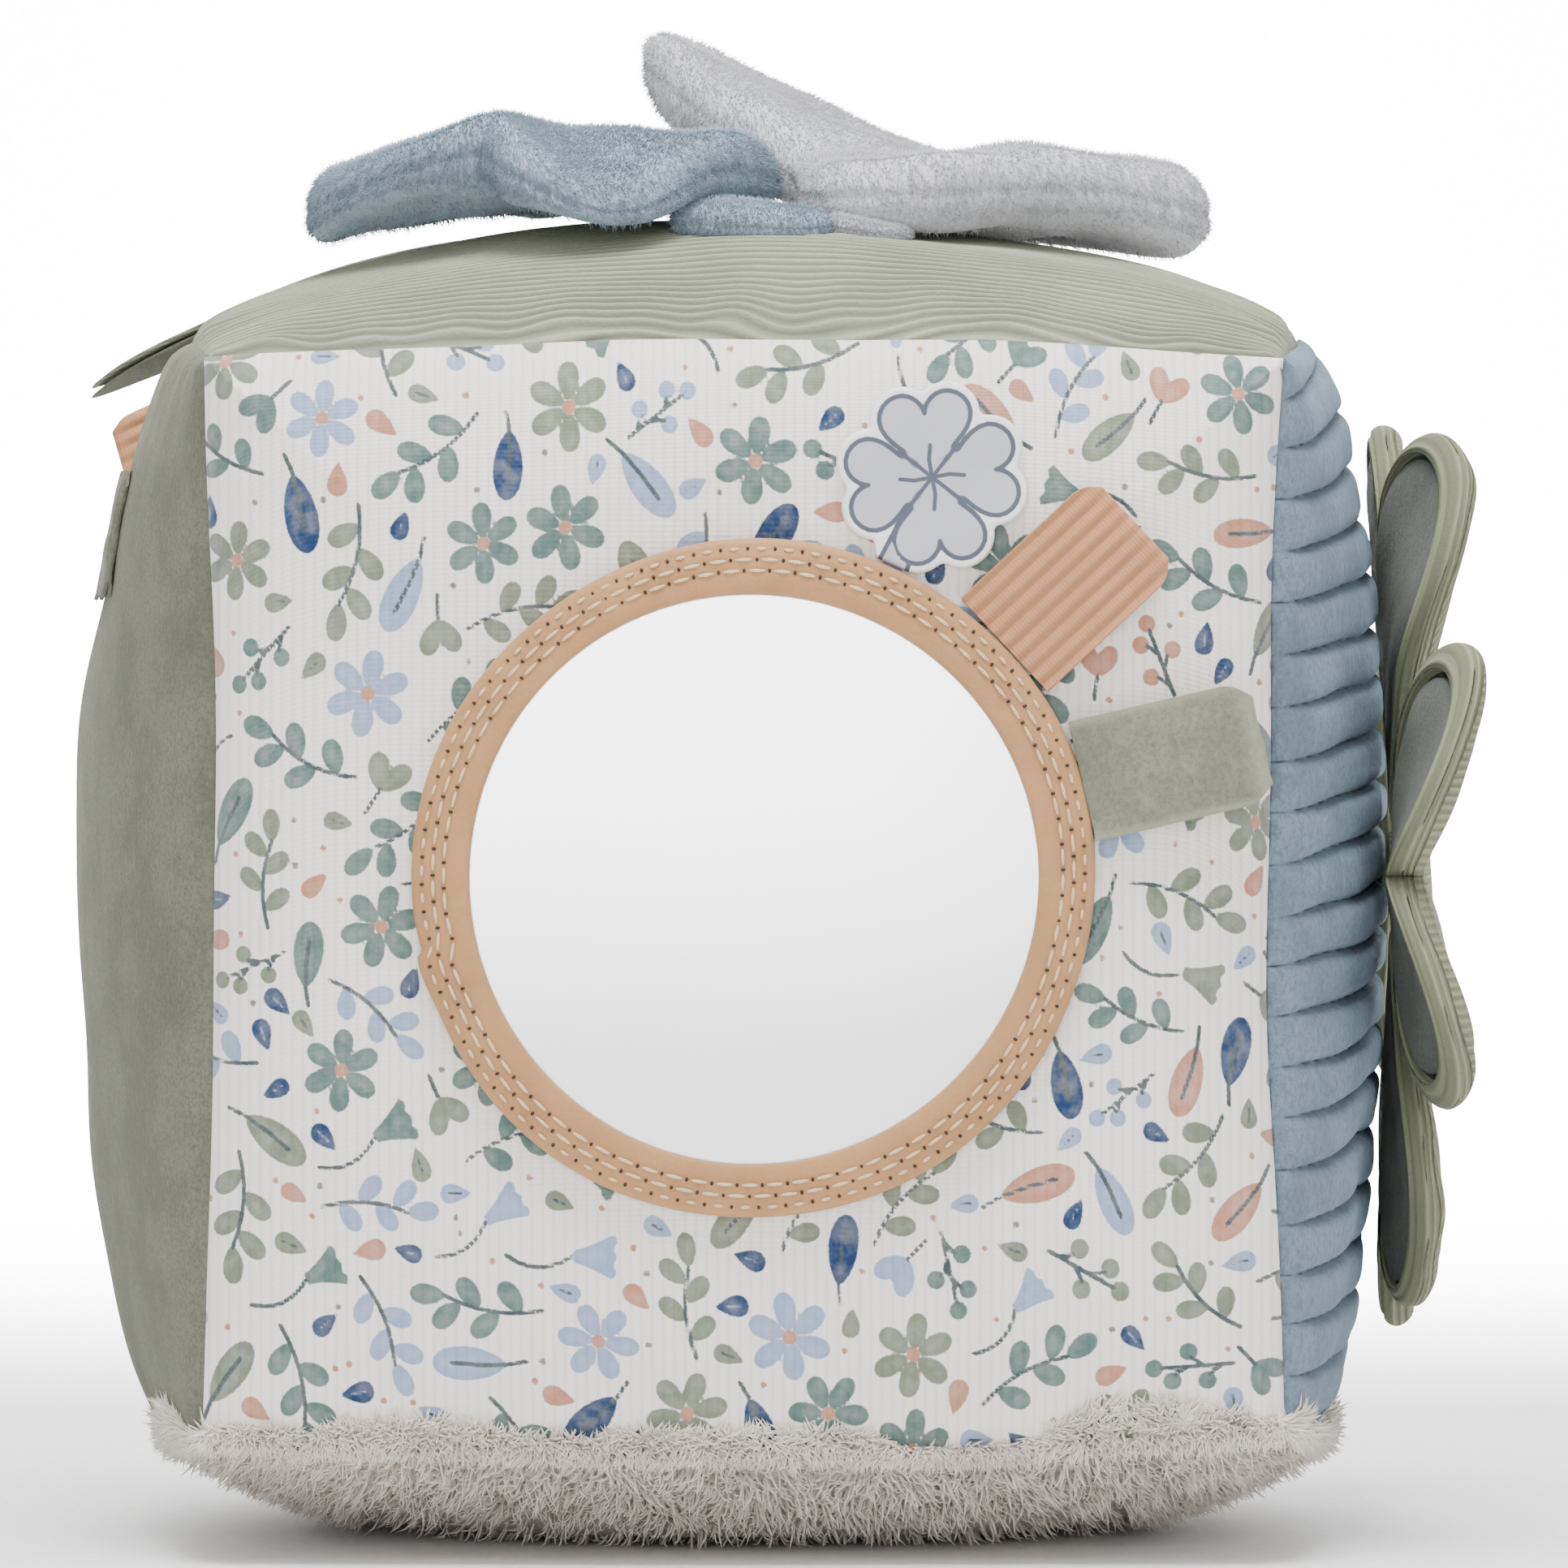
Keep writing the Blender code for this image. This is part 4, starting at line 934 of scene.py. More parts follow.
@dataclass
class Panel:
    """One sewn panel: a fine sheet on the block's form, with puckers at its seams."""

    form: BlockForm
    side: Side
    finish: Finish
    slot: str
    rows: int = 120
    columns: int = 120
    pucker: float = 0.45 * MM
    relief: float = 0.5 * MM
    seed: int = 1
    thickness: float = 1.4 * MM
    hemmed: bool = False

    @property
    def name(self) -> str:
        """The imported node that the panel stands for."""
        return f"{self.side.name.lower()}_panel"

    def from_seam(self, s: Array, t: Array) -> Array:
        """How far a place lies from the nearest seam."""
        return np.minimum(1 - np.abs(s), 1 - np.abs(t)) * self.form.half

    @staticmethod
    def tuck(inner: Array) -> Array:
        """The cloth drawn in by 0.8 mm at the very seam."""
        return -0.8 * MM * hump(inner, 1.1 * MM)

    def grid(self) -> tuple[Array, Array]:
        """The panel's s and t on its grid."""
        return crossed(eased(self.rows), eased(self.columns))

    def lift(self, s: Array, t: Array) -> Array:
        """Relief: slow swells, plus puckers that start at the seams and die out in 12 mm.

        Args:
            s, t: The grid's places.

        Returns:
            The extra height, with the tuck at the seam.
        """
        half = self.form.half
        flat = vectors(s, t) * half
        inner = self.from_seam(s, t)
        slow = swell(flat, 46 * MM, self.seed) * self.relief * smooth(inner, 0, 20 * MM)
        across_s = swell(vectors(t * half, s * half * 0.12), 9 * MM, self.seed + 11)
        across_t = swell(vectors(s * half, t * half * 0.12), 9 * MM, self.seed + 12)
        near_s = np.exp(-(1 - np.abs(s)) * half / (6 * MM))
        near_t = np.exp(-(1 - np.abs(t)) * half / (6 * MM))
        folds = self.pucker * (across_s * near_s + across_t * near_t) * smooth(inner, 0, 2 * MM)
        return slow + folds + self.tuck(inner)

    def build(self) -> Piece:
        s, t = self.grid()
        lift = self.lift(s, t)
        if self.hemmed:
            s, t = np.pad(s, 1, mode="edge"), np.pad(t, 1, mode="edge")
            lift = np.pad(lift, 1, constant_values=-self.thickness)
        points = self.form.skin(self.side, s, t, lift)
        axis, sign = self.side.value
        outward = np.zeros(3)
        outward[axis] = sign
        piece = sheet_piece(f"{self.side.name.lower()}_cover", points, outward, self.finish)
        self.mark(piece, s, t, points)
        if not self.hemmed:
            wall(piece, self.thickness)
        hold(piece, "block", [self.name])
        return piece

    def mark(self, piece: Piece, s: Array, t: Array, points: Array) -> None:
        """Stores the attributes that the finish reads: here the length across a fine cord's ribs."""
        vector_attribute(piece, "cord", vectors(run_lengths(points), points[..., 0], 0.0))


@dataclass
class RibbedPanel(Panel):
    """The wide-wale panel: ribs run from front to back and rise a little towards the back."""

    ribs: int = 21
    rib_height: float = 2.6 * MM
    slant: float = 0.045
    bend: float = 0.03

    def grid(self) -> tuple[Array, Array]:
        """Even rows up the panel, so that each rib has the same number."""
        return crossed(eased(self.rows), np.linspace(-1, 1, self.columns))

    def rib(self, s: Array, t: Array) -> Array:
        """A rib's profile (1 - |2r - 1|^4)^0.6, from 0 in the groove to 1 on the crest."""
        drift = 0.006 * swell(vectors(s, t * 3) * self.form.half, 70 * MM, 77)
        up = t - self.slant * s + self.bend * s * s + drift
        phase = ((up + 1) / 2 * self.ribs) % 1
        return np.clip(1 - np.abs(2 * phase - 1) ** 4, 0, 1) ** 0.6

    def lift(self, s: Array, t: Array) -> Array:
        """The ribs over slow swells, both lower at the seams."""
        inner = self.from_seam(s, t)
        full = smooth(inner, 0, 9 * MM)
        high = self.rib_height * (0.4 + 0.6 * full)
        slow = 0.35 * MM * swell(vectors(s, t) * self.form.half, 20 * MM, self.seed)
        return high * self.rib(s, t) - 0.8 * MM * full + self.tuck(inner) + slow * full

    def mark(self, piece: Piece, s: Array, t: Array, points: Array) -> None:
        """Stores the rib's height share for the painted groove shade."""
        rib = self.rib(s, t)
        vector_attribute(piece, "rib", vectors(rib, rib, rib))


@dataclass
class CordPanel(Panel):
    """The fine-cord panel: ribs run from side to side and wander where the cloth is slack."""

    rib_height: float = 0.5 * MM

    def across(self, s: Array, t: Array) -> Array:
        """The length across the ribs from the panel's front seam, moved by up to about 1.5 mm."""
        flat = vectors(s, t * 0.7) * self.form.half
        near = np.exp(-(1 - np.abs(t)) * self.form.half / (22 * MM))
        slack = swell(flat, 40 * MM, self.seed + 30) * (0.5 + 0.9 * near)
        fine = swell(flat, 15 * MM, self.seed + 31) * 0.22
        return run_lengths(self.form.skin(self.side, s, t)) + (slack + fine) * MM

    def lift(self, s: Array, t: Array) -> Array:
        """The panel's own relief with a rounded rib at each pitch."""
        wave = 0.5 + 0.5 * np.sin(2 * np.pi * self.across(s, t) / self.finish.pitch)
        seamed = smooth(self.from_seam(s, t), 0, 1.5 * MM)
        return super().lift(s, t) + self.rib_height * (wave**0.7 - 1) * seamed

    def mark(self, piece: Piece, s: Array, t: Array, points: Array) -> None:
        """Stores the length across the ribs, with the same wander as their relief."""
        vector_attribute(piece, "cord", vectors(self.across(s, t), points[..., 0], 0.0))


@dataclass
class PlushBottom(Panel):
    """The bottom panel, pressed flat by the floor, with a pile of curved tufts all over.

    Four tufts in ten stand on the other covers, up to about the brim's height over the seams.
    """

    batches: int = 4
    tufts: int = 10800
    covers: Mapping[Side, Panel] = field(default_factory=dict)
    length: float = 3.1 * MM
    width: float = 0.3 * MM
    brim: float = 5.5 * MM

    def build(self) -> Piece:
        """Makes the backing from the bowed face, clamped to the floor, then the pile."""
        s, t = self.grid()
        points = self.form.skin(self.side, s, t, self.lift(s, t) - 2.2 * MM)
        points[..., 2] = np.maximum(points[..., 2], 1.2 * MM)
        piece = sheet_piece("bottom_cover", points, np.array([0, 0, -1.0]), self.finish)
        wall(piece, self.thickness)
        hold(piece, "block", [self.name])
        rng = np.random.default_rng(5)
        for batch in range(self.batches):
            made = [self.under(rng, self.tufts * 6 // 10), self.over_seams(rng, self.tufts * 4 // 10)]
            root, normal, comb = (np.concatenate(parts) for parts in zip(*made))
            self.pile(f"bottom_pile_{batch + 1}", rng, root, normal, comb)
        return piece

    def under(self, rng: np.random.Generator, count: int) -> tuple[Array, Array, Array]:
        """Tufts on the panel itself, most of them on its bulging rim.

        Returns:
            The roots, the skin's normals and the ways that the pile is combed.
        """
        on_rim = rng.random(count) < 0.78
        reach = np.where(on_rim, rng.uniform(0.55, 1.0, count) ** 0.6, rng.uniform(0, 0.85, count))
        other = rng.uniform(-1, 1, count) * reach
        reach = reach * rng.choice([-1, 1], count)
        swap = rng.random(count) < 0.5
        s, t = np.where(swap, reach, other), np.where(swap, other, reach)
        si, ti = np.clip(s, -0.97, 0.97), np.clip(t, -0.97, 0.97)
        step = 1e-3
        across_s = self.form.panel(self.side, si + step, ti) - self.form.panel(self.side, si - step, ti)
        across_t = self.form.panel(self.side, si, ti + step) - self.form.panel(self.side, si, ti - step)
        normal = unit(np.cross(across_t, across_s))
        normal *= np.where(normal[:, 2:] > 0, -1, 1)
        root = self.form.skin(self.side, s, t, -1.9 * MM)
        root[:, 2] = np.maximum(root[:, 2], 1.0 * MM)
        outwards = unit(root * np.array([1, 1, 0]))
        edge = smooth(np.maximum(np.abs(s), np.abs(t)), 0.86, 1.0)[:, None]
        comb = outwards * (0.9 - 0.3 * edge) + np.array([0, 0, 1.0]) * (0.2 * edge - 0.25)
        return root, normal, comb

    def over_seams(self, rng: np.random.Generator, count: int) -> tuple[Array, Array, Array]:
        """Tufts that lie up over the lower edge of the four upright panels, to a wavy line.

        Returns:
            The roots, the skin's normals and the ways that the pile is combed.
        """
        roots, normals, heights = [], [], []
        for index, side in enumerate((Side.FRONT, Side.LEFT, Side.RIGHT, Side.BACK)):
            share = count * 2 // 5 if side is Side.FRONT else count // 5
            along = rng.uniform(-1, 1, share)
            bar = 0.62 + 0.38 * swell(along[:, None] * self.form.half, 55 * MM, 90 + index)
            up = -1 + rng.uniform(0, 1, share) ** 1.2 * np.clip(bar, 0.3, 1.2) * self.brim / self.form.half
            s, t = (up, along) if side in (Side.FRONT, Side.BACK) else (along, up)
            roots.append(self.form.skin(side, s, t, self.covers[side].lift(s, t) - 0.1 * MM))
            normal = np.zeros((share, 3))
            normal[:, side.value[0]] = side.value[1]
            normals.append(normal)
            heights.append((up + 1) * self.form.half)
        normal = np.concatenate(normals)
        # The lowest tufts hang down over the seam and the highest stand up against the sides.
        high = smooth(np.concatenate(heights), 0.5 * MM, 4 * MM)[:, None]
        comb = normal * (0.55 - 0.3 * high) + np.array([0, 0, 1.0]) * (1.5 * high - 0.75)
        return np.concatenate(roots), normal * (0.9 - 0.35 * high), comb

    def pile(self, name: str, rng: np.random.Generator, root: Array, normal: Array, comb: Array) -> None:
        """Makes tufts: tapering three-sided spikes that leave the skin and bend as they are combed.

        A tuft's middle is root + length (a (1 - 0.6 a) normal + 0.9 a^1.5 comb) and its half-width is
        width (1 - a)^0.6, for a from 0 at the root to 1 at the tip.

        Args:
            name: The object's name.
            rng: Where the scatter comes from.
            root, normal, comb: The roots, the skin's normals and the ways to bend.
        """
        clump = swell(root, 8 * MM, 31)[:, None]
        other = swell(root, 6 * MM, 32)[:, None]
        side = unit(np.cross(normal, comb + 1e-6))
        comb = unit(comb + 0.5 * rng.normal(size=root.shape) + 0.6 * clump * side + 0.3 * other * normal)
        long = self.length * rng.uniform(0.6, 1.1, len(root))[:, None] * (1 + 0.12 * other)
        a = np.array([0.0, 0.55, 1.0])[None, :, None]
        rise = normal[:, None] * a * (1 - 0.6 * a) + comb[:, None] * 0.9 * a**1.5
        middle = root[:, None] + long[:, None] * rise
        ring = turns(3)
        across = unit(np.cross(side, normal + comb))
        spread = np.cos(ring)[:, None] * side[:, None] + np.sin(ring)[:, None] * across[:, None]
        points = middle[:, :, None] + spread[:, None] * (self.width * (1 - a) ** 0.6)[..., None]
        points[..., 2] = np.maximum(points[..., 2], 0.15 * MM)
        faces = grid_faces(3, 3, round_columns=True)[None] + (np.arange(len(root)) * 9)[:, None, None]
        piece = make_piece(name, points.reshape(-1, 3), faces.reshape(-1, 4), CREAM_PILE)
        vector_attribute(piece, "pile", np.broadcast_to(a[..., None], (len(root), 3, 3, 3)))
        turn_outwards(piece)
        hold(piece, "block")


# The print


@dataclass(frozen=True)
class Motif:
    """One printed figure: outlines and lines in millimetres with their inks, and the room it takes."""

    shapes: tuple
    lines: tuple
    rounds: tuple = ()

    def placed(self, x: float, y: float, turn: float, size: float) -> "Motif":
        """The motif turned, scaled and moved."""
        spin = np.array([[math.cos(turn), math.sin(turn)], [-math.sin(turn), math.cos(turn)]])
        move = np.array([x, y])
        return Motif(
            tuple((ink, outline @ spin * size + move) for ink, outline in self.shapes),
            tuple((ink, path @ spin * size + move, wide) for ink, path, wide in self.lines),
            tuple((*(np.array([u, v]) @ spin * size + move), r * size) for u, v, r in self.rounds),
        )


@dataclass
class FloralPrint:
    """A scattered print of made-up twigs, daisies, berries, bells, leaves, sprigs and drops.

    Lengths are millimetres. A print that isn't quiet leaves a round place free for the mirror.
    """

    seed: int
    span: float = 84.0
    clear_radius: float = 38.0
    clear_at: tuple = (1.5, 3.0)
    margin: float = 0.2
    tries: int = 110
    quiet: bool = False

    @staticmethod
    def oval(length: float, width: float, tip: float = 1.0, at: Sequence[float] = (0, 0),
             turn: float = 0.0) -> Array:
        """A leaf outline: y = width sin(a) |sin(a / 2)|^tip against x = length (1 - cos(a)) / 2."""
        a = turns(22)
        x = length * (1 - np.cos(a)) / 2
        y = width * np.sin(a) * np.abs(np.sin(a / 2)) ** tip
        c, s = math.cos(turn), math.sin(turn)
        return vectors(x * c - y * s + at[0], x * s + y * c + at[1])

    @staticmethod
    def bent(length: float, sag: float) -> Array:
        """A stem that bends as a parabola: y = 4 sag u (1 - u) along x = length u."""
        u = np.linspace(0, 1, 7)
        return vectors(length * u, 4 * sag * u * (1 - u))

    def willow(self, ink: Ink) -> Motif:
        """One long narrow leaf with a midrib."""
        rib = np.array([[-2.2, -0.5], [0, 0], [3.0, 0.15], [6.2, 0.0]])
        return Motif(((ink, self.oval(8.4, 2.1, 0.35)),), ((Ink.STEM, rib, 0.26),),
                     ((-1.3, -0.3, 1.0), (1.6, 0, 1.9), (4.2, 0, 2.2), (7.0, 0, 1.8)))

    def bell(self, ink: Ink) -> Motif:
        """A bell flower that nods from a bent stem."""
        a = np.linspace(0, 1, 9)
        side = vectors(-4.6 * a, 0.7 + 1.9 * a**1.4)
        scallops = np.abs(np.sin(np.linspace(0, 3 * np.pi, 7)))
        hem = vectors(-4.6 - 0.5 * scallops, np.linspace(2.6, -2.6, 7))
        bell = np.concatenate([side, hem, side[::-1] * [1, -1]])
        return Motif(((ink, bell),), ((Ink.STEM, self.bent(7.5, 1.3), 0.26),),
                     ((-3.2, 0, 2.9), (-0.8, 0, 1.8), (1.8, 1.0, 1.0), (4.0, 1.2, 1.0), (6.6, 0.5, 1.1)))

    def berries(self, ink: Ink) -> Motif:
        """A spray of round berries on short side stems."""
        spots = [(3.0, 1.9), (5.2, -1.9), (7.2, 1.7), (9.4, 0.0)]
        shapes = tuple((ink, self.oval(2.3, 1.15, 0.0, (x - 0.9, y))) for x, y in spots)
        stems = tuple((Ink.STEM, np.array([[x - 1.7, 0.0], [x, y * 0.6]]), 0.24) for x, y in spots[:3])
        return Motif(shapes, ((Ink.STEM, np.array([[0, 0], [8.8, 0.0]]), 0.26), *stems),
                     ((0.6, 0, 1.0), (2.9, 0.7, 2.6), (5.2, -0.8, 2.6), (7.2, 0.6, 2.6), (9.6, 0, 1.6)))

    def daisy(self, ink: Ink) -> Motif:
        """A six-petalled daisy with a round middle."""
        petals = tuple((ink, self.oval(4.4, 1.5, 0.6, (0.5 * math.cos(a), 0.5 * math.sin(a)), a))
                       for a in np.arange(6) * math.pi / 3)
        middle = Ink.PEACH if ink is not Ink.PEACH else Ink.DEEP
        return Motif((*petals, (middle, self.oval(1.7, 0.85, 0.0, (-0.85, 0)))), (), ((0, 0, 4.8),))

    def twig(self, ink: Ink) -> Motif:
        """A bent twig with leaves on alternate sides and one at its end."""
        stem = self.bent(10.5, 0.9)
        leaves = []
        for i, u in enumerate((0.2, 0.42, 0.62, 0.82)):
            at = (10.5 * u, 3.6 * u * (1 - u))
            leaves.append((ink, self.oval(3.9, 1.3, 0.4, at, 0.85 if i % 2 else -0.85)))
        leaves.append((ink, self.oval(4.0, 1.3, 0.4, (10.3, 0.0), 0.1)))
        return Motif(tuple(leaves), ((Ink.STEM, stem, 0.26),),
                     ((0.5, 0, 1.0), (3.4, 0.5, 2.9), (6.4, 0.9, 3.2), (9.4, 0.6, 3.1), (12.4, 0, 2.0)))

    def sprig(self, ink: Ink) -> Motif:
        """Two short leaves on one stalk."""
        leaves = tuple((ink, self.oval(4.6, 1.5, 0.5, (1.4, 0), turn)) for turn in (0.5, -0.45))
        return Motif(leaves, ((Ink.STEM, np.array([[-1.6, 0.2], [1.6, 0.0]]), 0.26),),
                     ((-1.0, 0.1, 0.8), (2.6, 0, 2.0), (4.6, 0, 2.9)))

    def drop(self, ink: Ink) -> Motif:
        """A small plump drop with a short midrib."""
        streak = Ink.PALE if ink is Ink.DEEP else Ink.STEM
        rib = (streak, np.array([[1.5, 0.0], [3.2, 0.0]]), 0.16)
        lines = (rib,) if ink is not Ink.PEACH else ()
        return Motif(((ink, self.oval(4.2, 1.7, 1.3)),), lines, ((2.2, 0, 2.0),))

    def dot(self, ink: Ink) -> Motif:
        """One tiny dot."""
        return Motif(((ink, self.oval(1.0, 0.5, 0.0)),), (), ((0.5, 0, 0.6),))

    def layout(self) -> list[Motif]:
        """Throws motifs at random and keeps each that stands clear of those kept before.

        Returns:
            The placed motifs, largest kinds first.
        """
        rng = np.random.default_rng(self.seed)
        kinds = (
            (self.twig, (Ink.SAGE, Ink.TEAL, Ink.SAGE, Ink.PALE, Ink.TEAL), 44, 1.24),
            (self.daisy, (Ink.TEAL, Ink.SAGE, Ink.TEAL, Ink.PALE), 36, 1.16),
            (self.berries, (Ink.TEAL, Ink.PALE, Ink.SAGE, Ink.PEACH), 26, 1.15),
            (self.bell, (Ink.PALE, Ink.SAGE, Ink.TEAL), 26, 1.15),
            (self.willow, (Ink.SAGE, Ink.PALE, Ink.PEACH, Ink.SAGE, Ink.DEEP, Ink.TEAL), 130, 1.2),
            (self.sprig, (Ink.TEAL, Ink.PALE, Ink.SAGE, Ink.PEACH, Ink.SAGE), 130, 1.15),
            (self.drop, (Ink.DEEP, Ink.PEACH, Ink.SAGE, Ink.DEEP, Ink.PALE), 300, 1.15),
            (self.dot, (Ink.PEACH, Ink.SAGE, Ink.PEACH), 130, 1.0),
        )
        kept, taken = [], np.zeros((0, 3))
        for make, inks, count, size in kinds:
            for index in range(count):
                motif = make(inks[index % len(inks)])
                for _ in range(self.tries):
                    x, y = rng.uniform(-self.span, self.span, 2)
                    away = math.hypot(x - self.clear_at[0], y - self.clear_at[1])
                    if not self.quiet and away < self.clear_radius:
                        continue
                    tried = motif.placed(x, y, rng.uniform(0, 2 * math.pi), size * rng.uniform(0.92, 1.08))
                    rounds = np.array(tried.rounds)
                    apart = np.linalg.norm(rounds[:, None, :2] - taken[None, :, :2], axis=-1)
                    if (apart > rounds[:, None, 2] + taken[None, :, 2] + self.margin).all():
                        kept.append(tried)
                        taken = np.concatenate([taken, rounds])
                        break
        return kept

    def distances(self, places: Array) -> dict[str, Array]:
        """How far each place lies from each ink, in millimetres: at most far, and less than 0 inside.

        Args:
            places: (n, 2) places on the cloth in millimetres.

        Returns:
            The two vector attributes by name.
        """
        far, room = 4.0, 2.0
        found = {name: np.full((len(places), 3), far) for name in ("ink_a", "ink_b")}
        for motif in self.layout():
            parts = [(ink, outline, None) for ink, outline in motif.shapes] + list(motif.lines)
            for ink, outline, wide in parts:
                low, high = outline.min(0) - room, outline.max(0) + room
                near = np.flatnonzero(((places > low) & (places < high)).all(1))
                if not len(near):
                    continue
                if wide is None:
                    away = signed_distance(places[near], outline)
                else:
                    away = line_distance(places[near], outline) - wide
                name, channel, _ = ink.value
                found[name][near, channel] = np.minimum(found[name][near, channel], away)
        return found


@dataclass
class PrintedPanel(Panel):
    """A jersey panel with the print, laid flat on X and Z."""

    motif_seed: int = 8
    quiet: bool = False

    def mark(self, piece: Piece, s: Array, t: Array, points: Array) -> None:
        """Stores the distances to the inks; the cloth's place is s and t times the half edge."""
        flat = vectors(t, s).reshape(-1, 2) * self.form.half / MM
        drawn = FloralPrint(self.motif_seed, quiet=self.quiet).distances(flat)
        for name, values in drawn.items():
            vector_attribute(piece, name, values)


# The mirror


@dataclass
class Mirror:
    """The mirror disc, its stitched ring, the threads and dark pieces of painted shade in the needle holes.

    Each row of stitches is its radius, its phase in steps and the share of a step that its thread
    covers.
    """

    centre: tuple = (1.5 * MM, -89.5 * MM, 95 * MM)
    disc_radius: float = 42.3 * MM
    disc_base: float = 2.0 * MM
    inner: float = 39.0 * MM
    outer: float = 46.7 * MM
    ring_base: float = 0.35 * MM
    ring_top: float = 4.1 * MM
    rows: tuple = ((45.2 * MM, 0.5, 0.4), (43.7 * MM, 0.0, 0.72), (42.2 * MM, 0.5, 0.72))
    stitches: int = 76

    def place(self, radius: Array, turn: Array, out: Array | float) -> Array:
        """A place given by radius and turn on the face, and by how far it stands out."""
        x, y, z = self.centre
        return vectors(x + radius * np.cos(turn), y - out, z + radius * np.sin(turn))

    @staticmethod
    def wobble(turn: Array) -> Array:
        """The hand-sewn ring's radius error: slow waves and a small kink at the lower left."""
        off = (turn - math.radians(195) + np.pi) % (2 * np.pi) - np.pi
        kink = 0.56 * MM * hump(off, 0.09) * np.sign(off + 0.04)
        return 0.28 * MM * np.sin(2 * turn + 0.6) + 0.16 * MM * np.sin(5 * turn) + kink

    def build(self) -> None:
        """Makes the disc, ring, threads and the painted shade in the needle holes."""
        r, a = crossed(np.linspace(0, 1, 40) * self.disc_radius, turns(192))
        bulge = self.disc_base + 1.15 * MM * (1 - (r / self.disc_radius) ** 2)
        face = self.place(r, a, bulge)
        rear = self.place(r[::-1], a, self.disc_base - 0.15 * MM)
        disc = closed_piece("mirror_face", np.concatenate([face, rear[:1], rear]), MIRROR)
        hold(disc, "block", ["mirror_disc"])
        self.ring()
        self.sewing()

    @staticmethod
    def dome(over: Array) -> Array:
        """The height share of the ring's section at an angle from 0 to pi over it."""
        return 0.18 + 0.82 * np.sin(over) ** 0.45

    def depths(self, share: Array) -> tuple[Array, Array]:
        """How far the ring's back and its crest stand out at a share of its width."""
        low = np.where(share > 0.45, self.ring_base, self.disc_base + 0.5 * MM)
        return low, self.ring_top - 0.5 * MM * share

    def ring(self) -> None:
        """Sweeps a soft dome on a flat back round the mirror, with channels under the stitch rows."""
        over = np.linspace(0, np.pi, 22)
        turn = turns(384)
        share, a = crossed(np.concatenate([0.5 - 0.5 * np.cos(over), np.linspace(1, 0, 6)]), turn)
        high = crossed(np.concatenate([self.dome(over), np.zeros(6)]), turn)[0]
        inner = self.inner + 0.12 * MM * np.sin(3 * a + 1)
        outer = self.outer + self.wobble(a)
        r = inner + share * (outer - inner)
        low, top = self.depths(share)
        top = top + 0.1 * MM * swell(self.place(r, a, 0.0), 9 * MM, 3)
        out = low + (top - low) * high
        for radius, *_ in self.rows:
            out = out - 0.22 * MM * hump(r - radius - self.wobble(a), 0.45 * MM) * (high > 0.5)
        piece = closed_piece("mirror_ring_tape", self.place(r, a, out), TAN_TAPE, round_rows=True)
        hold(piece, "block", ["mirror_ring"])

    def sewing(self) -> None:
        """Makes rows of threads that dip into needle holes at both ends, with a dark piece of painted shade
        in each hole.
        """
        threads, holes = [], []
        step = 2 * np.pi / self.stitches
        for radius, phase, cover in self.rows:
            begin = (np.arange(self.stitches) + phase) * step
            end = begin + step * cover
            ride = self.height_at(radius)
            starts = self.place(radius + self.wobble(begin), begin, ride)
            ends = self.place(radius + self.wobble(end), end, ride)
            lift = np.zeros_like(starts)
            lift[:, 1] = -0.22 * MM
            threads.append(capsules(starts, ends, 0.26 * MM, lift))
            # Each needle hole is a small dark capsule of painted shade, sunk a little under the thread.
            gap = begin - step * (1 - cover) / 2
            spot = self.place(radius + self.wobble(gap), gap, ride - 0.05 * MM)
            tangent = vectors(-np.sin(gap), 0.0, np.cos(gap)) * 0.24 * MM
            holes.append(capsules(spot - tangent, spot + tangent, 0.33 * MM, lift * 0.3))
        for name, parts, finish in (
            ("ring_threads", threads, TAPE_THREAD), ("ring_needle_hole_shade", holes, NEEDLE_HOLE_SHADE),
        ):
            points, faces = zip(*parts)
            bases = np.cumsum([0] + [len(some) for some in points[:-1]])
            faces = np.concatenate([some + base for some, base in zip(faces, bases)])
            piece = make_piece(name, np.concatenate(points), faces, finish)
            turn_outwards(piece)
            hold(piece, "block")

    def height_at(self, radius: float) -> float:
        """How far the ring's dome stands out at a radius, less its channel."""
        share = (radius - self.inner) / (self.outer - self.inner)
        low, top = self.depths(share)
        return low + (top - low) * self.dome(math.acos(1 - 2 * share)) - 0.14 * MM


# Trims


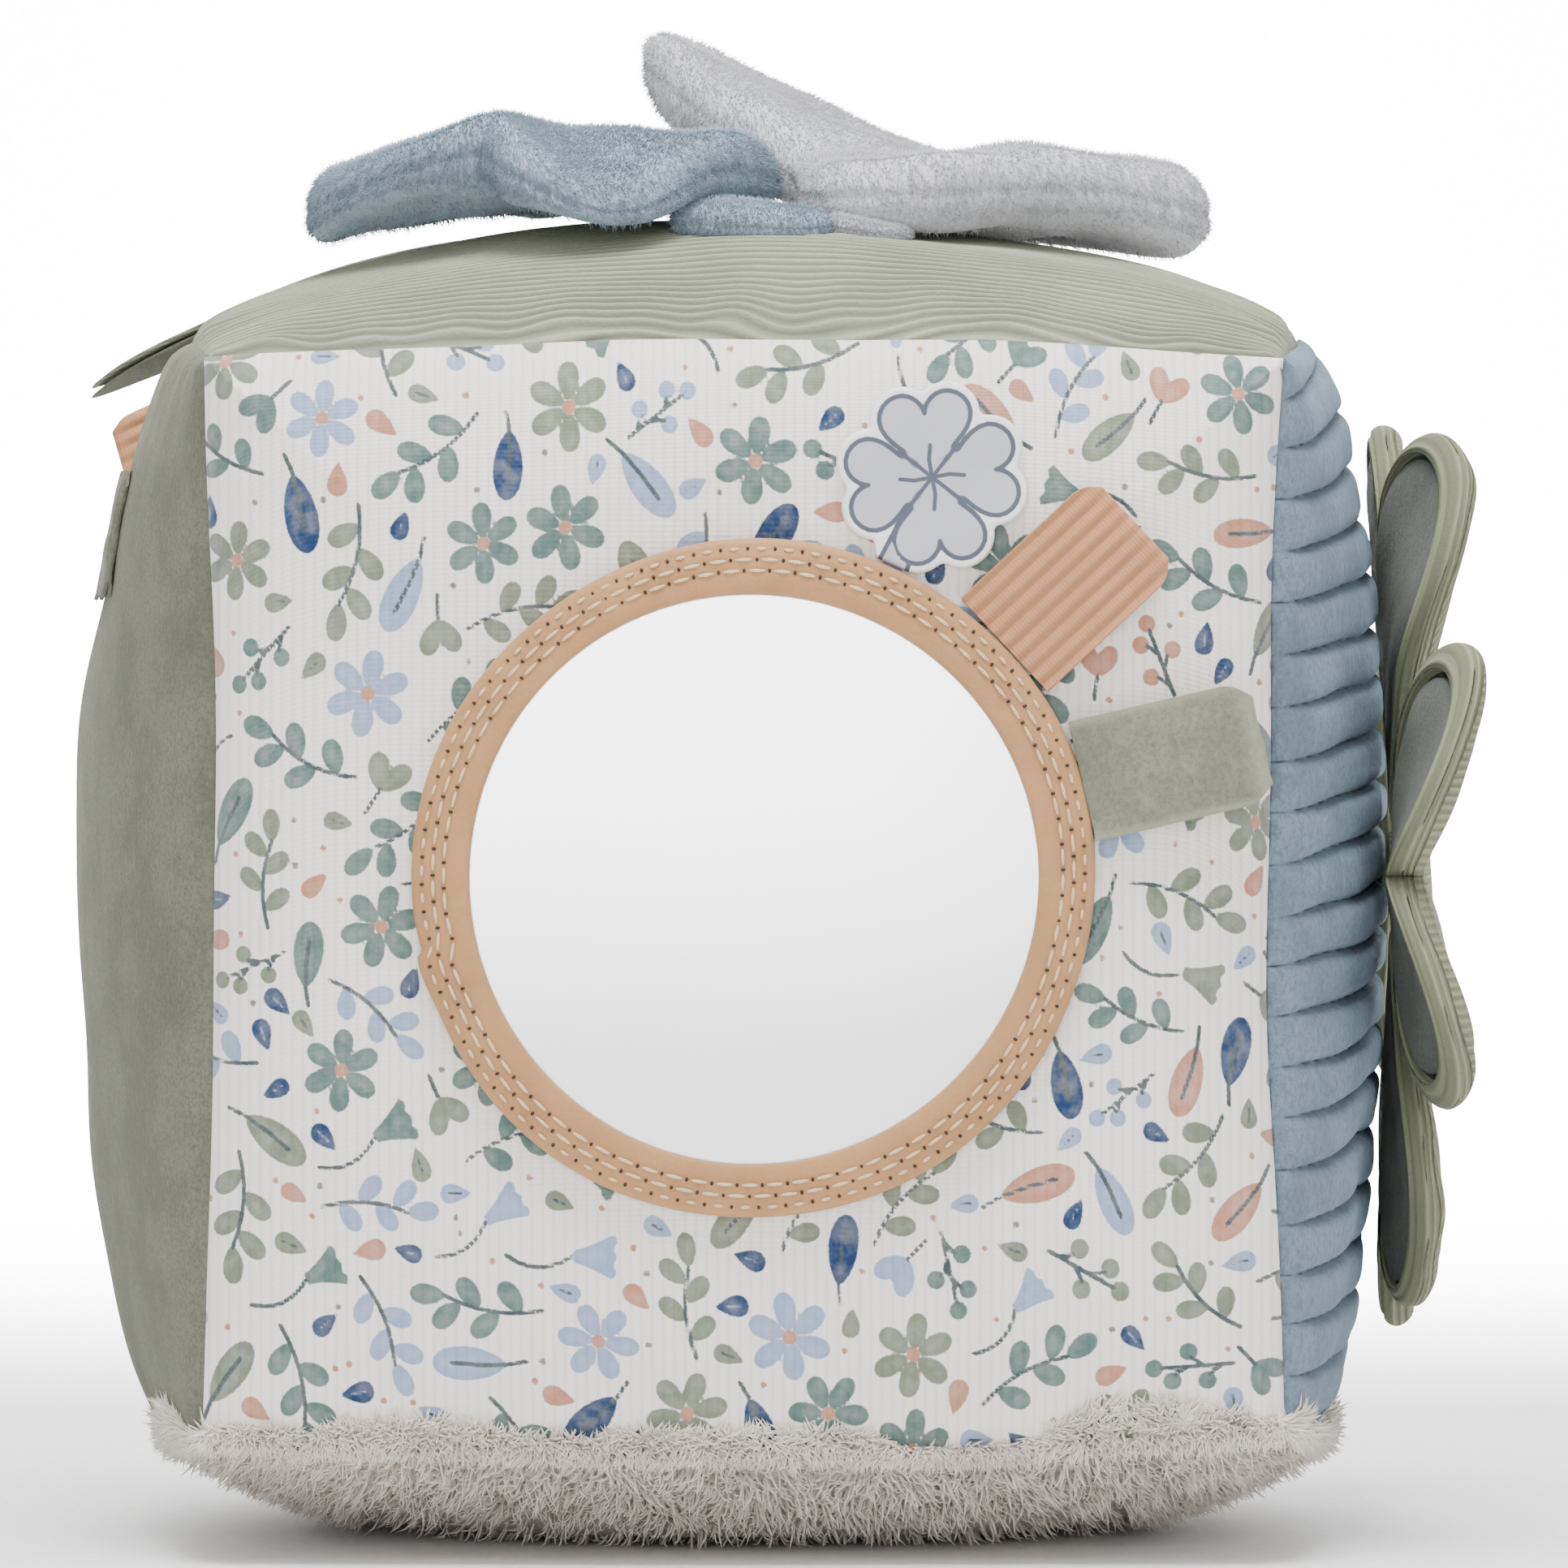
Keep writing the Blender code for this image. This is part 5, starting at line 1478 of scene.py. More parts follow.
@dataclass
class Trim:
    """A folded strip sewn at one end: where it lies, how it is cut and what it is made of."""

    node: str
    finish: Finish
    slot: str
    place: Callable[[Array, Array, Array], Array]
    reach: float
    width: float
    layer: float
    gap: float
    corner: float
    ribs: float = 0.0
    belly: float = 0.6 * MM
    curl: float = 0.0
    rest_on: str = "front_panel"

    def build(self) -> Piece:
        """Makes the folded sheet.

        Its middle line runs out along the strip, round a half circle of radius (gap + layer) / 2
        and back; ribs stand out along the sheet's own normal, and the corners are cut by a circle.

        Returns:
            The strip's object.
        """
        fold = (self.gap + self.layer) / 2
        straight = self.reach - fold - self.layer / 2
        rows = 46
        run = np.sin(np.linspace(0, np.pi / 2, rows))
        bend = np.linspace(-np.pi / 2, np.pi / 2, 15)[1:-1]
        u = np.concatenate([straight * run, straight + fold * np.cos(bend), straight * run[::-1]])
        w = np.concatenate([np.zeros(rows), fold + fold * np.sin(bend), np.full(rows, 2 * fold)])
        bell = self.belly * np.sin(np.pi * np.clip(u / straight, 0, 1))
        w = w + np.where(w > fold * 1.999, bell, 0) + self.layer / 2
        w = w + self.curl * np.clip(u / self.reach, 0, 1) ** 2
        tangent = unit(vectors(np.gradient(u), np.gradient(w)))
        normal = vectors(tangent[:, 1], -tangent[:, 0])
        cut = np.clip((u - (self.reach - self.corner)) / self.corner, 0, 0.985)
        half = self.width / 2 - self.corner * (1 - np.sqrt(1 - cut**2))
        across = np.linspace(-1, 1, 73 if self.ribs else 33)
        v = half[:, None] * across[None]
        if self.ribs:
            flat = 1 - smooth(u, straight - 3 * MM, straight)[:, None]
            rib = 0.15 * MM * flat * np.cos(2 * np.pi * v / self.ribs)
        else:
            rib = 0.12 * MM * swell(vectors(u[:, None], v), 7 * MM, 9)
        uu = u[:, None] + normal[:, :1] * rib
        ww = w[:, None] + normal[:, 1:] * rib
        points = self.place(uu, v, ww)
        # The way from near the root to near the fold is also the way that the fold faces.
        outward = points[rows + 17, 10] - points[5, 10]
        piece = sheet_piece(f"{self.node}_cloth", points, outward, self.finish)
        vector_attribute(piece, "cord", vectors(v, u[:, None], 0.0))
        wall(piece, self.layer * 0.86, 0)
        soften = piece.modifiers.new("soft edge", "BEVEL")
        soften.width = self.layer * 0.2
        soften.segments = 2
        soften.limit_method = "ANGLE"
        soften.angle_limit = math.radians(50)
        hold(piece, self.node, [self.node])
        return piece


def face_place(origin: Sequence[float], along: Sequence[float], up: Sequence[float]) -> Callable:
    """A straight frame: a function from strip coordinates (u, v, w) to the block's.

    Args:
        origin: Where the strip's root middle lies.
        along: The way that it points.
        up: The way that its face looks.

    Returns:
        The function.
    """
    start, x, z = np.array(origin), unit(np.array(along, float)), unit(np.array(up, float))
    y = np.cross(z, x)

    def place(u: Array, v: Array, w: Array) -> Array:
        """Adds the three steps to the origin."""
        u, v, w = np.broadcast_arrays(u, v, w)
        return start + u[..., None] * x + v[..., None] * y + w[..., None] * z

    return place


@dataclass
class FaceTrims:
    """The ribbon, the velour loop and the clover tag, sewn under the mirror's ring."""

    root: float = 47.0 * MM
    centre: tuple = (1.5 * MM, 95 * MM)
    face: float = -89.8 * MM

    def frame_at(self, bearing: float, lie: float) -> Callable:
        """The strip frame at a bearing round the mirror, pointing at lie degrees."""
        b, d = math.radians(bearing), math.radians(lie)
        x, z = self.centre
        origin = (x + self.root * math.cos(b), self.face, z + self.root * math.sin(b))
        return face_place(origin, (math.cos(d), 0, math.sin(d)), (0, -1, 0))

    def build(self) -> None:
        """Makes all three."""
        Trim("ribbon_loop", PEACH_RIBBON, "peach_ribbon", self.frame_at(43.0, 43.0),
             reach=24.6 * MM, width=17.4 * MM, layer=0.8 * MM, gap=0.5 * MM, corner=3.8 * MM,
             ribs=PEACH_RIBBON.rib, belly=0.5 * MM, curl=0.8 * MM).build()
        Trim("velour_loop", TAB_VELOUR, "sage_velour", self.frame_at(16.5, 13.0),
             reach=TAB_VELOUR.reach, width=16.8 * MM, layer=1.1 * MM, gap=0.5 * MM,
             corner=4.5 * MM, belly=0.9 * MM, curl=0.9 * MM).build()
        CloverTag(self.frame_at(66.0, 66.0)).build()


@dataclass
class CloverTag:
    """A flat printed tag in the outline of a four-leaved clover on its stem."""

    place: Callable
    centre_out: float = 13.2 * MM
    turn: float = 31.0
    border: float = 1.35
    thickness: float = 1.3 * MM

    def radius(self, a: Array) -> Array:
        """The outline: as far out as lies within the border's width of a heart or of the stem.

        Args:
            a: Angles round the tag's middle, in radians.

        Returns:
            The reach for each angle in metres.
        """
        tried = np.linspace(4.0, 16.0, 121)
        x, y = np.cos(a)[:, None] * tried, np.sin(a)[:, None] * tried
        flat = vectors(x, y).reshape(-1, 2)
        near = np.minimum.reduce([signed_distance(flat, self.heart(way)) for way in self.ways()])
        foot = -self.centre_out / MM
        stem = np.array([[-5.0, -2.0], [foot, -2.3], [foot, 2.3], [-5.0, 2.0]])
        near = np.minimum(near, signed_distance(flat, stem) + 0.3)
        within = (near < self.border).reshape(x.shape) & (x > foot)
        reach = np.where(within, tried, 4.0).max(1)
        # Short waves are taken out by a running mean of five angles.
        return np.mean([np.roll(reach, k) for k in range(-2, 3)], axis=0) * MM

    def ways(self) -> Array:
        """The four leaves' bearings in radians."""
        return math.radians(self.turn) + np.arange(4) * math.pi / 2

    @staticmethod
    def heart(way: float) -> Array:
        """A heart outline in millimetres, its point at the middle and its lobes towards way."""
        a = turns(44)
        wide = 6.3 * np.sin(a) ** 3
        tall = (13 * np.cos(a) - 5 * np.cos(2 * a) - 2 * np.cos(3 * a) - np.cos(4 * a) + 17) / 29 * 11.6
        c, s = math.cos(way), math.sin(way)
        return vectors(tall * c - wide * s, tall * s + wide * c)

    def build(self) -> Piece:
        """Makes the tag and draws its print as distances on its points."""
        v, turn = crossed(np.linspace(0, 1, 44), turns(240))
        r = self.radius(turn[0])[None] * v
        x, y = r * np.cos(turn), r * np.sin(turn)
        wave = 0.25 * MM * swell(vectors(x, y), 14 * MM, 21)
        rim = self.thickness * np.sqrt(1 - np.clip((v - 0.96) / 0.04, 0, 1) ** 2)
        mid = self.thickness / 2
        tilt = 0.05 * np.maximum(x + self.centre_out, 0)
        top = self.place(x + self.centre_out, y, mid + rim / 2 + wave + tilt)
        low = self.place(x + self.centre_out, y, mid - rim / 2 + wave + tilt)
        grid = np.concatenate([top, low[::-1][1:]])
        faces = grid_faces(*grid.shape[:2], round_columns=True)
        piece = make_piece("clover_tag_cloth", grid.reshape(-1, 3), faces, TAG_PRINT)
        flat = vectors(x, y) / MM
        flat = np.concatenate([flat, flat[::-1][1:]]).reshape(-1, 2)
        leaf = np.full(len(flat), 9.0)
        vein = np.full(len(flat), 9.0)
        midrib = np.array([[0.0, 0.0], [2.4, 0.15], [4.4, -0.25]])
        crease = np.array([[0.0, 0.0], [5.4, 0.0]])
        for way in self.ways():
            away = signed_distance(flat, self.heart(way))
            # A smooth union, so that neighbouring leaves run together near the middle.
            soft = 0.02 + 3.2 * (1 - smooth(np.linalg.norm(flat, axis=1), 4.2, 6.4))
            near = np.clip(1 - np.abs(away - leaf) / soft, 0, 1)
            leaf = np.minimum(away, leaf) - near**2 * soft / 4
            for path, bearing in ((midrib, way), (crease, way + np.pi / 4)):
                c, s = math.cos(bearing), math.sin(bearing)
                vein = np.minimum(vein, line_distance(flat, path @ np.array([[c, s], [-s, c]])))
        stem = np.array([[-5.5, -1.5], [-14.5, -2.1], [-14.5, 2.1], [-5.5, 1.5]])
        stalk = np.where(leaf > 0.2, signed_distance(flat, stem), 9.0)
        vector_attribute(piece, "ink_a", vectors(np.minimum(stalk, leaf), vein, vein))
        turn_outwards(piece)
        hold(piece, "clover_tag", ["clover_tag"])
        return piece


@dataclass
class SideTrims:
    """The tab on the left panel, the ribbon at the corner behind, and the sage leaf over the edge."""

    form: BlockForm
    left: Panel
    root_y: float = -12 * MM
    tab_z: float = 142.5 * MM
    ribbon_reach: float = 21.5 * MM
    ribbon_sag: float = 2.4 * MM

    def on_left(self, u: Array, v: Array, w: Array) -> Array:
        """Strip coordinates laid on the curved left panel, pointing to the front."""
        u, v, w = np.broadcast_arrays(u, v, w)
        t_up = (self.tab_z + v - self.form.middle) / self.form.half
        s_back = (self.root_y - u) / self.form.half
        return self.form.skin(Side.LEFT, s_back, t_up, w + self.left.lift(s_back, t_up) + 0.15 * MM)

    def at_corner(self, u: Array, v: Array, w: Array) -> Array:
        """Strip coordinates at the corner behind: out to the left, 16 degrees down, then sagging."""
        droop = math.radians(16)
        out = self.form.half + 0.75 * MM
        straight = face_place((-out, out, self.form.middle + out - 1.5 * MM),
                              (-math.cos(droop), 0, -math.sin(droop)), (0, 1, 0))
        points = straight(u, v, w)
        points[..., 2] -= self.ribbon_sag * np.broadcast_to(u / self.ribbon_reach, points.shape[:-1]) ** 2
        return points

    def build(self) -> None:
        """Makes the tab, the ribbon and the leaf."""
        Trim("side_tab", SAGE_VELOUR, "sage_velour", self.on_left,
             reach=30 * MM, width=16.8 * MM, layer=0.62 * MM, gap=0.05 * MM, corner=3.5 * MM,
             belly=0.05 * MM, rest_on="left_panel").build()
        Trim("corner_ribbon", PEACH_RIBBON, "peach_ribbon", self.at_corner,
             reach=self.ribbon_reach, width=11 * MM, layer=0.8 * MM, gap=0.5 * MM, corner=3.0 * MM,
             ribs=PEACH_RIBBON.rib, belly=0.5 * MM, rest_on="left_panel").build()
        SageLeaf(self.form).build()


@dataclass
class SageLeaf:
    """Two thin layers in a pointed oval, laid on the top panel and out past its edge.

    Past leaves_at the leaf leaves the panel and goes on straight, with its tip sunk by tip_sink.
    """

    form: BlockForm
    root: tuple = (-36 * MM, 22 * MM)
    tip: tuple = (-97.5 * MM, 34 * MM)
    half_width: float = 12 * MM
    layer: float = 1.1 * MM
    leaves_at: float = -72 * MM
    tip_sink: float = 2.4 * MM

    def height(self, x: Array, y: Array) -> Array:
        """The top panel's height, then on past leaves_at with a tip that hangs."""
        inner = np.maximum(x, self.leaves_at)

        def panel_z(px: Array, py: Array) -> Array:
            """The skin's height at px, py, found by closing in on its s and t."""
            s, t = px / self.form.half, py / self.form.half
            for _ in range(4):
                found = self.form.panel(Side.TOP, s, t)
                s = np.clip(s + (px - found[..., 0]) / self.form.half, -1, 1)
                t = np.clip(t + (py - found[..., 1]) / self.form.half, -1, 1)
            return self.form.panel(Side.TOP, s, t)[..., 2]

        step = 4 * MM
        edge = np.full_like(x, self.leaves_at)
        slope = (panel_z(edge + step, y) - panel_z(edge, y)) / step
        past = (inner - x) / (self.leaves_at - self.tip[0])
        return panel_z(inner, y) + slope * (x - inner) - self.tip_sink * past**2 + 0.3 * MM

    def build(self) -> None:
        """Makes the velour layer under and the cord layer over, each with a rounded edge."""
        root, tip = np.array(self.root), np.array(self.tip)
        along = tip - root
        length = float(np.linalg.norm(along))
        along /= length
        across = np.array([-along[1], along[0]])
        rows = 22
        v = np.concatenate([np.linspace(0, 1, rows), np.linspace(1, 0, rows)])
        share, turn = crossed(v, turns(96))
        face = np.where(np.arange(2 * rows) < rows, 1, -1)[:, None]
        wide = self.half_width * np.abs(np.sin(turn)) ** 0.95 * np.sign(np.sin(turn)) * share
        far = length / 2 * share * np.cos(turn)
        flat = (root + tip) / 2 + along * far[..., None] + across * wide[..., None]
        x, y = flat[..., 0], flat[..., 1]
        rim = face * self.layer / 2 * np.sqrt(np.clip(1 - share**10, 0, 1))
        curl = 1.6 * MM * smooth(-x, 74 * MM, 98 * MM)
        for node, base, bow, finish, slot in (
            ("sage_leaf_under", 0.0, 0.85, SAGE_VELOUR, "sage_velour"),
            ("sage_leaf_over", self.layer + 0.12 * MM, 1.0, SAGE_CORD, "sage_cord"),
        ):
            z = self.height(x, y) + base + self.layer / 2 + rim + bow * curl
            piece = closed_piece(f"{node}_cloth", vectors(x, y, z), finish)
            vector_attribute(piece, "cord", vertex_places(piece)[:, [1, 0, 2]])
            hold(piece, "sage_leaf", [node])


def pillow(reach: Array, half: float, seam: float, flats: int = 16,
           rim: int = 45) -> tuple[Array, Array, Array]:
    """A stuffed pad's section, from the middle of its top round its edge to the middle below.

    The flat part runs out to reach - e, slightly domed, with e = 0.9 half; the edge is the arc
    r = reach - e + e cos(phi), z = half sin(phi), drawn in by seam exp(-(phi / 0.14)^2).

    Args:
        reach: (n,) how far the edge lies out in each direction.
        half: Half the thickness.
        seam: How deep the seam sinks in.
        flats, rim: Rows on each flat and on the arc.

    Returns:
        (rows, n) radii, heights and arc angles, from pi/2 on the top to -pi/2 below.
    """
    edge = 0.9 * half
    phi = np.linspace(np.pi / 2, -np.pi / 2, rim)[:, None]
    share = np.linspace(0, 1, flats, endpoint=False)[:, None]
    dome = half * (1 + 0.14 * (1 - share**2))
    flat_r = share * (reach - edge)
    arc_r = reach - edge + edge * np.cos(phi) - seam * hump(phi, 0.14)
    radius = np.concatenate([flat_r, arc_r, flat_r[::-1]])
    tall = np.concatenate([dome, half * np.sin(phi), -dome[::-1]]) * np.ones_like(reach)
    angle = np.concatenate([np.full_like(share, np.pi / 2), phi, np.full_like(share, -np.pi / 2)])
    return radius, tall, angle * np.ones_like(reach)


@dataclass
class PlushLeaf:
    """One stuffed plush leaf: a lobed, rounded pad with its seam sunk in round its edge.

    Each lobe is its bearing in degrees, its reach, its rise and its share of the thickness; each
    notch is its bearing, its depth, its spread in degrees and its rise.
    """

    body: str
    finish: Finish
    centre: tuple
    lobes: tuple
    notches: tuple = ()
    waist: float = 24 * MM
    thickness: float = 12 * MM
    spread: float = 31.0
    hollow: float = 0.15
    climb: float = 2.0
    seed: int = 4

    @staticmethod
    def weight(turn: Array, bearing: float, spread: float) -> Array:
        """A bell curve round a bearing, both in degrees."""
        return hump((np.degrees(turn) - bearing + 180) % 360 - 180, spread)

    def build(self) -> Piece:
        """Makes the pad.

        Its reach in each direction is the waist plus the lobes' bells less the notches'; its middle
        rises towards each lobe's tip as (r / reach)^climb, and its section is a pillow's, thinner by
        hollow at the middle and by each lobe's own share.

        Returns:
            The leaf's object.
        """
        a = turns(220)
        reach = np.full_like(a, self.waist)
        rise = np.zeros_like(a)
        full = np.ones_like(a)
        for bearing, far, high, share in self.lobes:
            w = self.weight(a, bearing, self.spread)
            reach += w * (far - self.waist)
            rise += w * high
            full += w * (share - 1)
        for bearing, deep, spread, high in self.notches:
            w = self.weight(a, bearing, spread)
            reach -= deep * w
            rise += high * w
        r, half, phi = pillow(reach, self.thickness / 2, 0.5 * MM)
        x = self.centre[0] + r * np.cos(a)
        y = self.centre[1] + r * np.sin(a)
        flat = vectors(x, y)
        face = np.abs(np.sin(phi))
        fold = swell(flat, 21 * MM, self.seed) * 0.65 * MM * face * np.sign(half)
        pinch = swell(vectors(a * 24 * MM, phi * 3 * MM), 6 * MM, self.seed + 2) * 0.2 * MM
        near_seam = np.cos(phi) * hump(phi, 0.7)
        full = 1 - self.hollow + (full + self.hollow - 1) * smooth(r / reach, 0.1, 0.75)
        bend = rise * (r / reach) ** self.climb
        z = self.centre[2] + bend + half * full + fold + pinch * near_seam * np.sign(half)
        piece = closed_piece(f"{self.body}_plush", vectors(x, y, z), self.finish)
        nodes = [f"{self.body}_upper", f"{self.body}_lower", f"{self.body}_filling"]
        hold(piece, self.body, nodes)
        pile = nap(piece, self.finish, f"{self.body}_pile", 44000, 1.2 * MM, 0.08 * MM, self.seed + 10)
        hold(pile, self.body)
        return piece

    @property
    def finish_slot(self) -> str:
        """The record's slot for the plush."""
        return f"{self.body.split('_')[0]}_plush"


@dataclass
class TopPlush:
    """Both plush leaves and their sewn roots on the top panel."""

    form: BlockForm

    def build(self) -> None:
        """Makes the leaves and the roots."""
        PlushLeaf("blue_leaf", BLUE_PLUSH, (-25 * MM, -27 * MM, 196.6 * MM), lobes=(
            (172.0, 38.0 * MM, -6.8 * MM, 1.0), (285.0, 28.0 * MM, -8.4 * MM, 0.72),
            (12.0, 30.5 * MM, -2.4 * MM, 0.75), (100.0, 27 * MM, -1.0 * MM, 0.9)),
            notches=((232.0, 4.5 * MM, 13.0, 1.4 * MM),), thickness=10.4 * MM, hollow=0.05, seed=4).build()
        PlushLeaf("grey_leaf", GREY_PLUSH, (34 * MM, 2 * MM, 193.9 * MM), lobes=(
            (3.0, 34.0 * MM, -3.0 * MM, 1.02), (155.0, 53.0 * MM, 21.8 * MM, 1.0),
            (247.0, 44.5 * MM, -2.4 * MM, 0.8), (78.0, 27 * MM, -1.0 * MM, 0.9)),
            hollow=0.3, climb=1.6, seed=14).build()
        self.root("blue", BLUE_PLUSH, (1.0 * MM, -41.5 * MM), (11.5 * MM, 5.6 * MM, 6.0 * MM))
        self.root("grey", GREY_PLUSH, (18.0 * MM, -37.5 * MM), (5.8 * MM, 4.2 * MM, 3.2 * MM))

    def root(self, colour: str, finish: Finish, at: Sequence[float], size: Sequence[float]) -> None:
        """A small pillow on an ellipse, bent to follow the top panel, with its seam half way up.

        Args:
            colour: The leaf's colour, for the names.
            finish: What the root is made of.
            at: Its middle's x and y.
            size: Its half-width, half-depth and height.
        """
        (x, y), (wide, deep, high) = at, size
        a = turns(96)
        reach = 1 / np.sqrt((np.cos(a) / wide) ** 2 + (np.sin(a) / deep) ** 2)
        r, half, _ = pillow(reach, high * 0.44, 0.35 * MM, 8, 25)
        px, py = x + r * np.cos(a), y + r * np.sin(a)
        low = 0.72 + 0.28 * smooth(x + wide - px, 0, 2 * wide)
        z = SageLeaf(self.form).height(px, py) - 0.8 * MM + (high / 2 + half) * low
        piece = closed_piece(f"{colour}_root_plush", vectors(px, py, z), finish)
        hold(piece, "block", [f"{colour}_leaf_root"])
        pile = nap(piece, finish, f"{colour}_root_pile", 6000, 0.9 * MM, 0.075 * MM, 61)
        hold(pile, "block")


@dataclass
class CloverFlap:
    """The four-leaved flap: padded hearts with a cord face, a velour back and a stitched edge.

    Each leaf is its name, its bearing in degrees, its droop and the rise of its two lobes.
    """

    form: BlockForm
    centre_z: float = 95 * MM
    root: float = 6.6 * MM
    reach: float = 65 * MM
    half_width: float = 33 * MM
    fold_from: float = 26 * MM
    fold_over: float = 38 * MM
    thick: float = 5.7 * MM
    binding: float = 0.86
    leaves: tuple = (
        ("front", 180.0, 3.6 * MM, 9.5 * MM, 11.5 * MM), ("top", 94.0, 1.9 * MM, 9 * MM, 0.5 * MM),
        ("back", 0.0, 5.0 * MM, 9 * MM, 11 * MM), ("bottom", 262.0, 1.9 * MM, 3 * MM, 3.5 * MM),
    )

    @property
    def base_x(self) -> float:
        """The flap's underside at its middle."""
        form = self.form
        return form.half + form.long_bow + form.side_bow + form.crowns[Side.RIGHT] + 2.5 * MM

    def surface(self, leaf: tuple, turn: Array, share: Array, lift: Array) -> tuple[Array, Array, Array]:
        """A place on a heart-shaped leaf, folded along its midrib so that its lobes stand out.

        The outline is the well-known heart curve round a middle 0.55 of the way out.

        Args:
            leaf: One of leaves.
            turn, share: Round the heart, and out from its middle to its edge.
            lift: Height over the underside.

        Returns:
            Points in metres, and how far each lies from the midrib and from the flap's middle.
        """
        _, bearing, droop, first, second = leaf
        across = np.sin(turn) ** 3 * share
        tall = (13 * np.cos(turn) - 5 * np.cos(2 * turn) - 2 * np.cos(3 * turn) - np.cos(4 * turn) + 17) / 29
        along = 0.55 + (tall - 0.55) * share
        out = self.root + along * (self.reach - self.root)
        wide = across * self.half_width
        begun = smooth(out, self.fold_from, self.fold_from + self.fold_over)
        rise = np.where(wide > 0, first, second)
        fold = rise * np.sin(np.clip(np.abs(wide) / self.half_width, 0, 1) * np.pi / 2) * begun
        b = math.radians(bearing)
        away, side = np.array([0, math.cos(b), math.sin(b)]), np.array([0, -math.sin(b), math.cos(b)])
        points = out[..., None] * away + wide[..., None] * side
        # The padding thins out towards the middle, where the flap is sewn down.
        full = 0.45 + 0.55 * smooth(out, 8 * MM, 30 * MM)
        points[..., 0] = self.base_x - droop * (out / (50 * MM)) ** 2 + fold + lift * full
        points[..., 2] += self.centre_z
        return points, wide, out

    def build(self) -> None:
        """Makes each leaf's back and face, and the button of cord at the middle.

        The face's cord turns over the edge and binds the back's rim, with a sewn groove on each
        side; the velour back fills the space inside the binding.
        """
        rows, gap = 38, 0.12 * MM
        v = np.sin(np.concatenate([np.linspace(0, np.pi / 2, rows), np.linspace(np.pi / 2, 0, rows)]))
        share, turn = crossed(v, turns(160))
        upper = (np.arange(2 * rows) < rows)[:, None] & np.ones_like(turn, bool)
        few_share, few_turn, few_upper = (values[::3, ::2] for values in (share, turn, upper))
        middle = self.thick * 0.32
        bound = smooth(share, self.binding + 0.005, self.binding + 0.03)
        rim = self.thick / 2 * (1 - np.sqrt(np.clip(1 - share**16, 0, 1)))
        under = (middle + gap) * (1 - bound) + rim + 0.4 * MM * hump(share - 0.945, 0.012)
        sink = 0.35 * MM + 0.6 * MM * share**12
        film = middle + np.where(few_upper, gap / 2, -gap / 2) * (1 - few_share**8)
        for index, leaf in enumerate(self.leaves):
            flat = self.surface(leaf, turn, share, 0.0)[0]
            quilt = 0.35 * MM * swell(flat, 15 * MM, 40 + index)
            over = self.thick - rim - 0.55 * MM * hump(share - 0.87, 0.03) + quilt
            self.layer(leaf, "face", turn, share, np.where(upper, over, under), ~upper)
            lift = np.where(upper, middle - gap, sink - quilt * 0.6 - 0.5 * MM * (1 - share**4))
            lift = np.where(share > 0.9995, (sink + middle) / 2, lift)
            self.layer(leaf, "back", turn, share * (self.binding - 0.01), lift, upper)
            self.layer(leaf, "film", few_turn, few_share * 0.76, film, few_upper)
        self.button()

    def layer(self, leaf: tuple, kind: str, turn: Array, share: Array, lift: Array, below: Array) -> None:
        """Makes one closed layer of a leaf, with ribs along the edge wherever it binds the rim.

        Args:
            leaf: One of leaves.
            kind: One of FLAP_LAYERS.
            turn, share, lift: The surface's places.
            below: Where the layer looks towards the block.
        """
        finish, slot = FLAP_LAYERS[kind]
        points, wide, out = self.surface(leaf, turn, share, lift)
        edge = (1 - share) * 30 * MM + lift
        wide = np.where(below & (share > self.binding) | (share > 0.985), edge, wide)
        apart = np.linalg.norm(np.diff(points, axis=0), axis=-1).max(1) > 1e-3 * MM
        kept = np.concatenate([[True], apart])
        points, wide, out = points[kept], wide[kept], out[kept]
        piece = make_piece(f"clover_{leaf[0]}_{kind}_cloth", points.reshape(-1, 3),
                           grid_faces(*points.shape[:2], round_columns=True), finish)
        vector_attribute(piece, "cord", vectors(wide, out, 0.0))
        turn_outwards(piece)
        hold(piece, f"clover_{leaf[0]}", [f"clover_{leaf[0]}_{kind}"])

    def button(self) -> None:
        """A small domed disc of cord where the leaves meet."""
        share, turn = crossed(np.concatenate([np.linspace(0, 1, 14), np.linspace(1, 0, 6)]), turns(64))
        r = 6.1 * MM * share
        dome = 3.6 * MM * np.sqrt(1 - 0.35 * share**4 - 0.3 * share**16)
        x = self.base_x + np.where((np.arange(20) < 14)[:, None], dome, 0)
        grid = vectors(x, r * np.cos(turn), self.centre_z + r * np.sin(turn))
        piece = closed_piece("clover_button", grid, FLAP_CORD)
        vector_attribute(piece, "cord", vertex_places(piece)[:, [1, 2, 0]])
        hold(piece, "block", ["clover_centre"])


# Inside pieces and the studio


class InnerPieces:
    """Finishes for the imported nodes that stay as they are, inside the block."""

    finishes = {
        "filling": FIBRE, "filling_plug": FIBRE, "mirror_pad": FIBRE,
        "rattle_case_front": RATTLE, "rattle_case_back": RATTLE,
        "rattle_bead_1": BEAD, "rattle_bead_2": BEAD, "rattle_bead_3": BEAD,
    }

    def build(self) -> None:
        """Assigns each node's finish."""
        for name, finish in self.finishes.items():
            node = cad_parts[name]
            node.data.materials.clear()
            node.data.materials.append(finish.material())
            log.info("%s: %s", name, finish.name)


